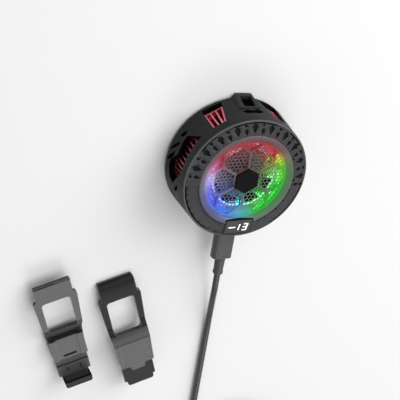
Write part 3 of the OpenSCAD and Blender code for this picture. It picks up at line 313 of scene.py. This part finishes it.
blackFoam = speckled("blackFoam", (0.008, 0.008, 0.008), (0.022, 0.022, 0.022), 0.9, 2600, 0.00015)
whiteCeramic = speckled("whiteCeramic", (0.8, 0.8, 0.78), (0.86, 0.86, 0.85), 0.5, 1500, 0.00002)
legAlloy = speckled("legAlloy", (0.2, 0.2, 0.22), (0.35, 0.35, 0.38), 0.45, 2000, 0.00003)
gapPad = speckled("gapPad", (0.35, 0.4, 0.5), (0.42, 0.47, 0.56), 0.7, 900, 0.00004)
boardGreen = speckled("boardGreen", (0.012, 0.09, 0.045), (0.02, 0.15, 0.07), 0.35, 800, 0.00003)
boardWhite = speckled("boardWhite", (0.75, 0.75, 0.72), (0.82, 0.82, 0.8), 0.4, 900, 0.00003)
ledResin = speckled("ledResin", (0.9, 0.8, 0.4), (0.95, 0.9, 0.65), 0.25, 1500, 0.00002)
tieStrap = speckled("tieStrap", (0.012, 0.012, 0.013), (0.035, 0.035, 0.037), 0.85, 1800, 0.0002)
print("fillings and boards mixed")


# coloured light of the LED ring, by the angle round the fan axis in degrees
ledGlow = [
    (-180, (0.56, 0.48, 1.0)),
    (-160, (0.12, 0.14, 1.0)),
    (-135, (0.03, 0.10, 1.0)),
    (-112, (0.03, 0.22, 1.0)),
    (-93, (0.10, 0.62, 1.0)),
    (-78, (0.05, 0.75, 0.45)),
    (-66, (0.01, 0.70, 0.03)),
    (-18, (0.01, 0.72, 0.01)),
    (18, (0.14, 0.72, 0.01)),
    (32, (0.70, 0.58, 0.02)),
    (44, (0.55, 0.03, 0.03)),
    (60, (0.48, 0.012, 0.025)),
    (140, (0.48, 0.012, 0.03)),
    (153, (0.70, 0.10, 0.26)),
    (166, (0.80, 0.42, 0.85)),
    (180, (0.56, 0.48, 1.0)),
]


def glowColour(material, angle):
    ramp = addNode(material, "ShaderNodeValToRGB")
    points = ramp.color_ramp.elements
    while len(points) < len(ledGlow):
        points.new(0.5)
    for point, (degrees, colour) in zip(points, ledGlow):
        point.position = (degrees + 180) / 360
        point.color = (*colour, 1)
    join(material, mapped(material, angle, -math.pi, math.pi, 0, 1), ramp.inputs["Fac"])
    return ramp.outputs["Color"]


def glowTint(material, glow):
    angle, radius = angleAndRadius(material)
    share = mapped(material, radius, glow["inner"], glow["outer"], glow["innerShare"], glow["outerShare"])
    return mixed(material, 1.0, glowColour(material, angle), share, "MULTIPLY")


# painted highlights: streaks follow the ring round, and pale where they are strongest
def highlightStreaks(material, glow):
    angle, radius = angleAndRadius(material)
    place = addNode(material, "ShaderNodeCombineXYZ")
    for socket, turn in (("X", "COSINE"), ("Y", "SINE")):
        way = maths(material, "MULTIPLY", maths(material, turn, angle), glow["around"])
        join(material, way, place.inputs[socket])
    join(material, maths(material, "MULTIPLY", radius, glow["across"]), place.inputs["Z"])
    node = addNode(material, "ShaderNodeTexNoise")
    node.inputs["Scale"].default_value = 1
    node.inputs["Detail"].default_value = 2
    join(material, place.outputs[0], node.inputs["Vector"])
    return mapped(material, node.outputs["Fac"], glow["paleFrom"], glow["paleTo"], 0, 1)


# the guide's underside lights the fan, so it glows much more strongly than its front
guideGlow = {
    "inner": 0.0142, "outer": 0.019, "innerShare": 0.5, "outerShare": 0.85, "strength": 1.35, "shine": 0.2,
    "around": 2.4, "across": 1300, "paleFrom": 0.59, "paleTo": 0.74, "paleMost": 0.6,
    "pale": (0.85, 0.9, 1.0), "sideways": -0.3, "down": -0.7, "under": 62,
}


def litGuide(material, glow):
    setInput(material, "Specular IOR Level", glow["shine"])
    # painted highlight: pale streaks laid over the glow
    pale = maths(material, "MULTIPLY", highlightStreaks(material, glow), glow["paleMost"])
    tint = mixed(material, pale, glowTint(material, glow), glow["pale"])
    under = mapped(material, facingUp(material), glow["sideways"], glow["down"], 1, glow["under"])
    setGlow(material, mixed(material, 1.0, tint, under, "MULTIPLY"), glow["strength"])


lightGuide = speckled("lightGuide", (0.07, 0.07, 0.08), (0.1, 0.1, 0.11), 0.25, 1200, 0.00002)
litGuide(lightGuide, guideGlow)

# the ring round the inlet has the guide's light painted on its inner edge as glow
ringGlow = {"inner": 0.0192, "outer": 0.0222, "innerShare": 1.0, "outerShare": 0.15, "strength": 0.22}
ringSatin = mouldedPlastic("ringSatin", (0.062, 0.06, 0.068), 0.36, grain=fineGrain, depth=0.00002)
setGlow(ringSatin, glowTint(ringSatin, ringGlow), ringGlow["strength"])

# the walls of the cells have the ring's light painted on as glow, further in than on their front edges
cellGlow = {
    "wall": 0.3, "front": 0.7, "wallFrom": 0.0065, "wallTo": 0.014, "wallLeast": 0.3,
    "frontFrom": 0.0118, "frontTo": 0.0165, "strength": 0.5, "coat": 0.1,
}


def litCells(material, glow):
    setInput(material, "Coat Weight", glow["coat"])
    angle, radius = angleAndRadius(material)
    level = maths(material, "ABSOLUTE", facingUp(material))
    wall = mapped(material, level, glow["wall"], glow["front"], 1, 0)
    inward = mapped(material, radius, glow["wallFrom"], glow["wallTo"], glow["wallLeast"], 1.0)
    front = mapped(material, radius, glow["frontFrom"], glow["frontTo"], 0.0, 1.0)
    share = maths(material, "MAXIMUM", maths(material, "MULTIPLY", wall, inward), front)
    setGlow(material, mixed(material, 1.0, glowColour(material, angle), share, "MULTIPLY"), glow["strength"])


grilleGloss = mouldedPlastic(
    "grilleGloss", (0.085, 0.085, 0.088), 0.22, grain=fineGrain, depth=0.00001, rubAndHighlight=2.4, rubAndHighlightRadius=0.0002,
    shine=0.2,
)
litCells(grilleGloss, cellGlow)

hubGloss = mouldedPlastic(
    "hubGloss", (0.003, 0.003, 0.0034), 0.42, grain=fineGrain, depth=0.00001, rubAndHighlight=4, shine=0.05,
)
lensBlack = mouldedPlastic(
    "lensBlack", (0.002, 0.002, 0.0022), 0.12, grain=900, depth=0.000002, rubAndHighlight=3, shine=0.2,
)
smokyBlades = mouldedPlastic(
    "smokyBlades", (0.042, 0.042, 0.044), 0.35, grain=4200, depth=0.00002, shine=0.25,
)

# digits glow on their front only
digitGlow = {
    "cool": (0.86, 0.9, 0.96), "white": (1.0, 1.0, 1.0), "scale": 600, "sideways": 0.5, "front": 0.8,
    "side": (0.01, 0.01, 0.01), "strength": 0.9,
}


def litDigits(material, glow):
    tone = mixed(material, noise(material, glow["scale"], 2), glow["cool"], glow["white"])
    front = mapped(material, facingUp(material), glow["sideways"], glow["front"], 0, 1)
    feed(material, "Base Color", mixed(material, front, glow["side"], tone))
    setGlow(material, mixed(material, front, (0, 0, 0), tone), glow["strength"])


digitLight = newMaterial("digitLight", (0.9, 0.92, 0.95), 0.4)
litDigits(digitLight, digitGlow)
print("lit materials mixed")


# the thin front rim is lighter as a painted highlight, the grille darkens outwards, the fins darken inwards
# as painted shade
toning = {
    "rim": {"start": 0.0205, "full": 0.0207, "most": 1, "colour": (0.085, 0.084, 0.088)},
    "grille": {"start": 0.012, "full": 0.0155, "most": 0.75, "colour": (0.01, 0.01, 0.012)},
    "fins": {"start": 0.0268, "full": 0.0258, "most": 1, "colour": (0.03, 0.004, 0.005)},
}


def overlay(material, source, tone):
    socket = shaderOf(material).inputs["Base Color"]
    mask = mapped(material, source, tone["start"], tone["full"], 0, tone["most"])
    join(material, mixed(material, mask, socket.links[0].from_socket, tone["colour"]), socket)


# painted highlight along the drum's front rim
overlay(drumPlastic, placeParts(drumPlastic)[2], toning["rim"])
overlay(grilleGloss, angleAndRadius(grilleGloss)[1], toning["grille"])
# painted shade on the fins deeper inside the drum
overlay(finsPaintedLedLight, angleAndRadius(finsPaintedLedLight)[1], toning["fins"])
print("rim, grille and fins toned")


# which finish goes on which CAD node
finishOf = {
    "housing": drumPlastic, "clip_bracket": bracketPlastic, "vent_bars": barsPaintedLedLight,
    "grip_pad": gripRubber, "back_cover": coverPlastic,
    "ring_magnets": platedMagnet, "cold_plate": brushedPlate, "clamp_screws": screwSteel,
    "thermal_pad": gapPad,
    "tec_cold_ceramic": whiteCeramic, "tec_legs": legAlloy, "tec_hot_ceramic": whiteCeramic,
    "foam_frame": blackFoam, "heat_sink": finsPaintedLedLight, "fan_base": blackPlastic, "fan_screws": screwSteel,
    "bearing": sinteredBronze, "motor_board": boardGreen, "stator_core": screwSteel,
    "stator_windings": windingCopper, "shaft": steelSheet, "rotor_cup": steelSheet,
    "rotor_magnet": blackPlastic,
    "impeller": smokyBlades, "board_pad": gapPad, "main_board": boardGreen, "board_parts": blackPlastic,
    "usb_socket": steelSheet, "usb_tongue": blackPlastic, "mid_plate": blackPlastic, "led_board": boardWhite,
    "leds": ledResin, "light_ring": lightGuide, "bezel": bezelPlastic, "funnel_ring": ringSatin,
    "grille": grilleGloss, "hub_cap": hubGloss, "display_module": blackPlastic, "display_lens": lensBlack,
    "display_digits": digitLight, "plug_shell": steelSheet, "plug_body": plugPlastic,
    "strain_relief": plugPlastic, "lead": sheathRubber, "lead_coil": sheathRubber, "tie": tieStrap,
    "usb_a_relief": plugPlastic, "usb_a_plug": plugPlastic, "usb_a_shell": steelSheet,
    "clip_a_frame": clipPlastic, "clip_a_jaw": jawPlastic, "clip_a_pad": blackFoam,
    "clip_b_frame": clipPlastic, "clip_b_jaw": jawPlastic, "clip_b_pad": blackFoam,
}
for nodeName, finish in finishOf.items():
    nodes[nodeName].data.materials.clear()
    nodes[nodeName].data.materials.append(finish)
print("finishes on", len(finishOf), "nodes")


# moulded pieces: a copy of the node with its edges rounded in mm, as the mould leaves them, and its body
softEdges = {
    "plug_body": ("plugGrip", 0.35, "usb_lead"),
    "strain_relief": ("plugRelief", 0.25, "usb_lead"),
    "usb_a_plug": ("chargerGrip", 0.4, "usb_lead"),
    "usb_a_shell": ("chargerShell", 0.0, "usb_lead"),
    "housing": ("drumShell", 0.12, "cooler"),
    "clip_bracket": ("bracketShell", 0.15, "cooler"),
    "bezel": ("frontBand", 0.0, "cooler"),
    "tie": ("coilTie", 0.3, "usb_lead"),
    "grip_pad": ("gripRing", 0.15, "cooler"),
    "clip_a_pad": ("jawPadInner", 0.3, "clip_a_slider"),
    "clip_b_pad": ("jawPadOuter", 0.3, "clip_b_slider"),
    "clip_a_frame": ("clipFrameInner", 0.45, "clip_a"),
    "clip_b_frame": ("clipFrameOuter", 0.45, "clip_b"),
    "clip_a_jaw": ("clipJawInner", 0.45, "clip_a_slider"),
    "clip_b_jaw": ("clipJawOuter", 0.45, "clip_b_slider"),
}


# the tab's outer face gets the darker jaw plastic as painted shade: its end, its direction, how far the
# painted shade reaches, its outer side
shadedTabs = {
    "clipFrameInner": {"end": (-78.8, -54.7), "along": (0.300706, -0.953717), "reach": 29.0, "outer": -1},
    "clipFrameOuter": {"end": (-46.95, -60.05), "along": (0.300706, -0.953717), "reach": 29.0, "outer": 1},
}


def cutAcross(tab):
    place = [(e + a * tab["reach"]) * mm for e, a in zip(tab["end"], tab["along"])]
    bpy.ops.mesh.select_all(action="SELECT")
    bpy.ops.mesh.bisect(plane_co=(*place, 0), plane_no=(*tab["along"], 0))


# angles in degrees: faces merge below "flat", edges are rounded above "sharp" and shaded below "smooth"
rounding = {"weld": 0.000004, "flat": 0.05, "sharp": 34, "segments": 3, "smooth": 38, "nodeSmooth": 30}


def pickOnly(piece):
    bpy.ops.object.select_all(action="DESELECT")
    piece.select_set(True)
    bpy.context.view_layer.objects.active = piece


def softCopy(nodeName, pieceName, edge, body):
    pickOnly(nodes[nodeName])
    bpy.ops.object.duplicate()
    piece = bpy.context.active_object
    piece.name = pieceName
    piece.parent = None
    for key in list(piece.keys()):
        del piece[key]
    bpy.ops.object.mode_set(mode="EDIT")
    bpy.ops.mesh.select_all(action="SELECT")
    bpy.ops.mesh.remove_doubles(threshold=rounding["weld"])
    if edge > 0:
        bpy.ops.mesh.dissolve_limited(angle_limit=math.radians(rounding["flat"]))
    if pieceName in shadedTabs:
        cutAcross(shadedTabs[pieceName])
    bpy.ops.object.mode_set(mode="OBJECT")
    if edge > 0:
        bevel = piece.modifiers.new("mouldEdge", "BEVEL")
        bevel.width = edge * mm
        bevel.segments = rounding["segments"]
        bevel.limit_method = "ANGLE"
        bevel.angle_limit = math.radians(rounding["sharp"])
        bpy.ops.object.modifier_apply(modifier=bevel.name)
    bpy.ops.object.shade_smooth_by_angle(angle=math.radians(rounding["smooth"]))
    if edge > 0:
        level = piece.modifiers.new("flatFaces", "WEIGHTED_NORMAL")
        level.keep_sharp = True
        bpy.ops.object.modifier_apply(modifier=level.name)
    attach(piece, body)
    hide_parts(nodeName)
    return piece


softPieces = {}
for nodeName, (pieceName, edge, body) in softEdges.items():
    softPieces[pieceName] = softCopy(nodeName, pieceName, edge, body)
for nodeName in nodes:
    if nodeName not in softEdges and nodeName not in ("lead", "lead_coil"):
        pickOnly(nodes[nodeName])
        bpy.ops.object.shade_smooth_by_angle(angle=math.radians(rounding["nodeSmooth"]))
print("edges rounded on", len(softEdges), "pieces")


# recesses get painted shade: a face counts as recessed by its depth below the outer surface, in mm
recesses = {
    "drum": {"backRadius": 30.0, "backHeight": 0.6, "taper": 1 / 20.4, "rimHeight": 20.3, "depth": 0.25},
    "band": {"outerRadius": 28.05, "rimHeight": 21.0, "slope": 1.3 / 5.75, "depth": 0.32, "steep": 0.6},
}


def deepInDrum(face, wall):
    place = face.center
    radius, height = math.hypot(place.x, place.y) / mm, place.z / mm
    surface = wall["backRadius"] - (height - wall["backHeight"]) * wall["taper"]
    return height < wall["rimHeight"] and surface - radius > wall["depth"]


def deepInBand(face, crown):
    place = face.center
    radius, height = math.hypot(place.x, place.y) / mm, place.z / mm
    surface = crown["rimHeight"] + (crown["outerRadius"] - radius) * crown["slope"]
    return surface - height > crown["depth"] or (height < surface and abs(face.normal.z) < crown["steep"])


def paintFaces(piece, material, isChosen, size):
    pickOnly(piece)
    piece.data.materials.append(material)
    piece.active_material_index = len(piece.data.materials) - 1
    bpy.ops.object.mode_set(mode="EDIT")
    bpy.ops.mesh.select_mode(type="FACE")
    bpy.ops.mesh.select_all(action="DESELECT")
    bpy.ops.object.mode_set(mode="OBJECT")
    for face in piece.data.polygons:
        face.select = isChosen(face, size)
    bpy.ops.object.mode_set(mode="EDIT")
    bpy.ops.object.material_slot_assign()
    bpy.ops.mesh.select_mode(type="VERT")
    bpy.ops.object.mode_set(mode="OBJECT")


# painted shade: dark plastic on the recessed faces of the drum and the front band
paintFaces(softPieces["drumShell"], recessShadeBlack, deepInDrum, recesses["drum"])
paintFaces(softPieces["frontBand"], bandRecessShade, deepInBand, recesses["band"])
print("recesses darkened")


# clips: the jaw's tongue shares the frame's satin, its hook is darker, the strip by the hook gets a paler
# matte as painted light over its shade
jawTongues = {
    "clipJawInner": {"hook": (-61.3, -110.2), "reach": 13.0, "inner": 1, "strip": (2.0, 4.6)},
    "clipJawOuter": {"hook": (-29.5, -115.4), "reach": 13.0, "inner": -1, "strip": (5.0, 9.5)},
}

# the bend beside the tab gets the paler matte as painted light over its shade: where it lies along the tab,
# and the tilt of its faces
clipBend = {"start": 28.0, "stop": 35.0, "leastTilt": 0.3, "mostTilt": 0.95}
stripFacing, tabFacing = 0.5, 0.1


def awayFromHook(face, jaw):
    x, y = face.center.x / mm, face.center.y / mm
    return math.hypot(x - jaw["hook"][0], y - jaw["hook"][1]) > jaw["reach"]


def onHookStrip(face, jaw):
    low, high = jaw["strip"]
    facing = face.normal.z * jaw["inner"] > stripFacing and low < face.center.z / mm < high
    return facing and not awayFromHook(face, jaw)


def alongTab(face, tab):
    return sum((c / mm - e) * a for c, e, a in zip(face.center, tab["end"], tab["along"]))


def onShadedTab(face, tab):
    return alongTab(face, tab) < tab["reach"] and face.normal.z * tab["outer"] > tabFacing


def onBend(face, tab):
    tilt = -face.normal.z * tab["outer"]
    inBend = clipBend["start"] < alongTab(face, tab) < clipBend["stop"]
    return inBend and clipBend["leastTilt"] < tilt < clipBend["mostTilt"]


# the tongue away from the hook takes the frame's satin; the strip by the hook gets painted light
for jawName, jaw in jawTongues.items():
    paintFaces(softPieces[jawName], clipPlastic, awayFromHook, jaw)
    paintFaces(softPieces[jawName], clipLitMatte, onHookStrip, jaw)
# on each frame: painted shade on the tab's outer face, painted light on the bend beside it
for frameName, tab in shadedTabs.items():
    paintFaces(softPieces[frameName], jawPlastic, onShadedTab, tab)
    paintFaces(softPieces[frameName], clipLitMatte, onBend, tab)
print("clips toned")


# USB-A end, in mm: insulating tongue in the shell, four gold contacts on it by their side and length
contacts = {
    "centre": (89.83, -180.76), "heading": 18, "tongueTop": 3.5, "tongueLow": 1.9, "tongueHalf": 5.55,
    "strips": [(-3.5, 8.4), (-1.0, 7.4), (1.0, 7.4), (3.5, 8.4)], "width": 1.0, "thick": 0.12, "mouth": 5.0,
    "edge": 0.05, "slack": 0.02,
}
contactGold = metal("contactGold", (0.83, 0.6, 0.24), 0.25, (1, 6, 1))
tongueWhite = speckled("tongueWhite", (0.72, 0.72, 0.7), (0.78, 0.78, 0.76), 0.45, 1400, 0.00002)


def onTongue(face, end):
    across = math.radians(end["heading"] + 90)
    x, y, height = (c / mm for c in face.center)
    side = (x - end["centre"][0]) * math.cos(across) + (y - end["centre"][1]) * math.sin(across)
    return abs(side) < end["tongueHalf"] and end["tongueLow"] < height < end["tongueTop"] + end["slack"]


def makeContacts(end):
    strips = []
    for side, length in end["strips"]:
        bpy.ops.object.select_all(action="DESELECT")
        bpy.ops.mesh.primitive_cube_add(size=mm, location=(0, 0, 0))
        strip = bpy.context.active_object
        bpy.ops.object.mode_set(mode="EDIT")
        bpy.ops.mesh.select_all(action="SELECT")
        bpy.ops.transform.resize(value=(length, end["width"], end["thick"]))
        bpy.ops.mesh.bevel(offset=end["edge"] * mm, segments=2, affect="EDGES")
        bpy.ops.mesh.select_all(action="SELECT")
        forward, height = end["mouth"] - length / 2, end["tongueTop"] + end["thick"] / 2
        turn = -math.radians(end["heading"])
        bpy.ops.transform.translate(value=(forward * mm, side * mm, height * mm))
        bpy.ops.transform.rotate(value=turn, orient_axis="Z", center_override=(0, 0, 0))
        bpy.ops.transform.translate(value=(end["centre"][0] * mm, end["centre"][1] * mm, 0))
        bpy.ops.object.mode_set(mode="OBJECT")
        strips.append(strip)
    for strip in strips:
        strip.select_set(True)
    bpy.ops.object.join()
    piece = bpy.context.active_object
    piece.name = "chargerContacts"
    piece.data.materials.append(contactGold)
    bpy.ops.object.shade_smooth_by_angle(angle=math.radians(rounding["smooth"]))
    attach(piece, "usb_lead")
    return piece


paintFaces(softPieces["chargerShell"], tongueWhite, onTongue, contacts)
softPieces["chargerContacts"] = makeContacts(contacts)
print("contacts set")


# lead, in mm but for its length in m: out of the strain relief, down to the floor, along it and into a coil
leadCord = {
    "thick": 3.0,
    "stretch": [
        (0, -55.42, 10.5), (0, -58.42, 10.5), (0.4, -64, 9.8), (1.2, -70, 8.2), (2.2, -76, 6.1),
        (3.2, -82, 4.1), (4, -88, 2.5), (4.4, -94, 1.8), (4.5, -100, 1.6), (4.5, -108, 1.6),
        (4.5, -116, 1.6), (4.5, -124, 1.6), (4.5, -132, 1.6), (4.5, -140, 1.6), (4.5, -148, 1.6),
        (4.5, -156, 1.7), (4.5, -163, 1.8), (4.5, -168, 1.9), (4.5, -171, 1.9),
    ],
    "coilStart": (4.5, -174.0, 1.9),
    "innerRadius": 12.0,
    "pitch": 3.5,
    "turnsIn": 3.5,
    "turnsOut": 3.8,
    "steps": 24,
    "tail": 22.0,
    "tailSteps": 6,
    "roundness": 5,
    "plugHeight": 3.8,
    "length": 0.984,
}


def eased(t):
    t = max(0.0, min(1.0, t))
    return t * t * (3 - 2 * t)


def coilPoint(cord, t):
    x0, y0, z0 = cord["coilStart"]
    centreX = x0 + cord["innerRadius"] + cord["pitch"] * cord["turnsIn"]
    angle = math.pi + 2 * math.pi * t
    radius = cord["innerRadius"] + cord["pitch"] * abs(t - cord["turnsIn"])
    lift = cord["pitch"] * eased((t - cord["turnsIn"]) * 2 + 0.5)
    return centreX + radius * math.cos(angle), y0 + radius * math.sin(angle), z0 + lift


def leadPoints(cord):
    turns = cord["turnsIn"] + cord["turnsOut"]
    points = list(cord["stretch"])
    points += [coilPoint(cord, i / cord["steps"]) for i in range(round(turns * cord["steps"]) + 1)]
    end = coilPoint(cord, turns)
    heading = math.pi + 2 * math.pi * turns + math.pi / 2
    for i in range(1, cord["tailSteps"] + 1):
        along = cord["tail"] * i / cord["tailSteps"]
        rise = eased(along / (cord["tail"] - 2 * cord["thick"]))
        height = end[2] + (cord["plugHeight"] - end[2]) * rise
        points.append((end[0] + along * math.cos(heading), end[1] + along * math.sin(heading), height))
    return points


def makeLead(cord):
    curve = bpy.data.curves.new("leadCord", "CURVE")
    curve.dimensions = "3D"
    curve.bevel_depth = cord["thick"] / 2 * mm
    curve.bevel_resolution = cord["roundness"]
    curve.use_fill_caps = True
    spline = curve.splines.new("POLY")
    points = leadPoints(cord)
    spline.points.add(len(points) - 1)
    for point, place in zip(spline.points, points):
        point.co = (*(c * mm for c in place), 1)
    spline.use_smooth = True
    piece = bpy.data.objects.new("leadCord", curve)
    bpy.context.scene.collection.objects.link(piece)
    piece.data.materials.append(sheathRubber)
    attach(piece, "usb_lead")
    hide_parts("lead", "lead_coil")


makeLead(leadCord)
print("lead laid")


# painted highlight: a glowing thread along the inlet's lip stands in for a reflected arc of light, brightest
# below the hub
inletLipHighlight = {
    "radius": 14.3, "height": 18.62, "thick": 0.9, "flatten": 0.5, "segments": (144, 10),
    "white": (0.75, 0.9, 1.0), "whiteShare": 0.4, "strength": 1.3,
    "fadeFrom": 0.006, "fadeTo": -0.008, "faintest": 0.03,
    "rippleScale": 500, "rippleFrom": 0.3, "rippleTo": 0.7, "rippleLeast": 0.8,
}


def lipHighlightGlow(lip):
    material = newMaterial("lipHighlightGlow", (0.3, 0.32, 0.36), 0.3)
    angle = angleAndRadius(material)[0]
    tint = mixed(material, lip["whiteShare"], glowColour(material, angle), lip["white"])
    fade = mapped(material, placeParts(material)[1], lip["fadeFrom"], lip["fadeTo"], lip["faintest"], 1.0)
    ripple = noise(material, lip["rippleScale"], 3)
    ripple = mapped(material, ripple, lip["rippleFrom"], lip["rippleTo"], lip["rippleLeast"], 1.0)
    share = maths(material, "MULTIPLY", fade, ripple)
    setGlow(material, mixed(material, 1.0, tint, share, "MULTIPLY"), lip["strength"])
    return material


def makeInletLipHighlight(lip):
    bpy.ops.object.select_all(action="DESELECT")
    around, across = lip["segments"]
    bpy.ops.mesh.primitive_torus_add(
        major_radius=lip["radius"] * mm, minor_radius=lip["thick"] / 2 * mm,
        major_segments=around, minor_segments=across, location=(0, 0, 0),
    )
    piece = bpy.context.active_object
    piece.name = "inletLipHighlight"
    bpy.ops.object.mode_set(mode="EDIT")
    bpy.ops.mesh.select_all(action="SELECT")
    bpy.ops.transform.resize(value=(1, 1, lip["flatten"]))
    bpy.ops.transform.translate(value=(0, 0, lip["height"] * mm))
    bpy.ops.object.mode_set(mode="OBJECT")
    bpy.ops.object.shade_smooth()
    piece.data.materials.append(lipHighlightGlow(lip))
    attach(piece, "cooler")


makeInletLipHighlight(inletLipHighlight)
print("inlet lip lit")


# stage: pale floor that fades to white far out, soft boxes by place, aim, size and power
studio = {
    "floor": (0.82, 0.82, 0.82),
    "floorSize": 6,
    "floorHeight": -0.0003,
    "floorRough": 0.9,
    "floorShine": 0.1,
    "floorDrift": 1.01,
    "driftScale": 3,
    "sky": 0.3,
    "fadeFrom": 0.25,
    "fadeTo": 0.7,
    "boxes": [
        ("softBoxKey", (0.6, 0.6, 0.55), (0.0, -0.05, 0.0), 0.85, 8.5),
        ("softBoxTop", (0.15, 0.2, 1.0), (0.0, -0.05, 0.0), 0.8, 4.0),
        ("softBoxFill", (-0.7, -0.5, 0.5), (0.0, -0.05, 0.0), 0.6, 0.6),
        ("softBoxLow", (0.162, -0.625, 0.675), (-0.05, -0.08, 0.0), 0.45, 1.8),
    ],
}


def makeStage(studio):
    bpy.ops.mesh.primitive_plane_add(size=studio["floorSize"], location=(0, 0, studio["floorHeight"]))
    floor = bpy.context.active_object
    floor.name = "paleFloor"
    material = newMaterial("paleFloor", studio["floor"], studio["floorRough"])
    drift = noise(material, studio["driftScale"], 2)
    lighter = paler(studio["floor"], studio["floorDrift"])
    feed(material, "Base Color", mixed(material, drift, studio["floor"], lighter))
    setInput(material, "Specular IOR Level", studio["floorShine"])
    path = addNode(material, "ShaderNodeLightPath")
    seen = maths(material, "MAXIMUM", path.outputs["Is Camera Ray"], path.outputs["Is Glossy Ray"])
    seen = maths(material, "MAXIMUM", seen, path.outputs["Is Transmission Ray"])
    far = mapped(material, angleAndRadius(material)[1], studio["fadeFrom"], studio["fadeTo"], 0, 1)
    white = addNode(material, "ShaderNodeEmission")
    fade = addNode(material, "ShaderNodeMixShader")
    join(material, maths(material, "MULTIPLY", seen, far), fade.inputs[0])
    join(material, shaderOf(material).outputs[0], fade.inputs[1])
    join(material, white.outputs[0], fade.inputs[2])
    join(material, fade.outputs[0], material.node_tree.nodes["Material Output"].inputs["Surface"])
    floor.data.materials.append(material)
    for name, place, aim, size, power in studio["boxes"]:
        bpy.ops.object.light_add(type="AREA", location=place)
        box = bpy.context.active_object
        box.name = name
        box.data.size = size
        box.data.energy = power
        away = Vector(place) - Vector(aim)
        box.rotation_euler = away.to_track_quat("Z", "Y").to_euler()
    world = bpy.data.worlds.new("studioWorld")
    bpy.context.scene.world = world
    world.use_nodes = True
    tree = world.node_tree
    back = tree.nodes["Background"]
    back.inputs["Color"].default_value = (1, 1, 1, 1)
    path = tree.nodes.new("ShaderNodeLightPath")
    seen = path.outputs["Is Camera Ray"]
    for ray in ("Is Glossy Ray", "Is Transmission Ray"):
        either = tree.nodes.new("ShaderNodeMath")
        either.operation = "MAXIMUM"
        tree.links.new(seen, either.inputs[0])
        tree.links.new(path.outputs[ray], either.inputs[1])
        seen = either.outputs[0]
    strength = tree.nodes.new("ShaderNodeMapRange")
    strength.inputs["To Min"].default_value = studio["sky"]
    strength.inputs["To Max"].default_value = 1.0
    tree.links.new(seen, strength.inputs["Value"])
    tree.links.new(strength.outputs["Result"], back.inputs["Strength"])
    bpy.context.scene.view_settings.view_transform = "Standard"


makeStage(studio)
print("stage set")
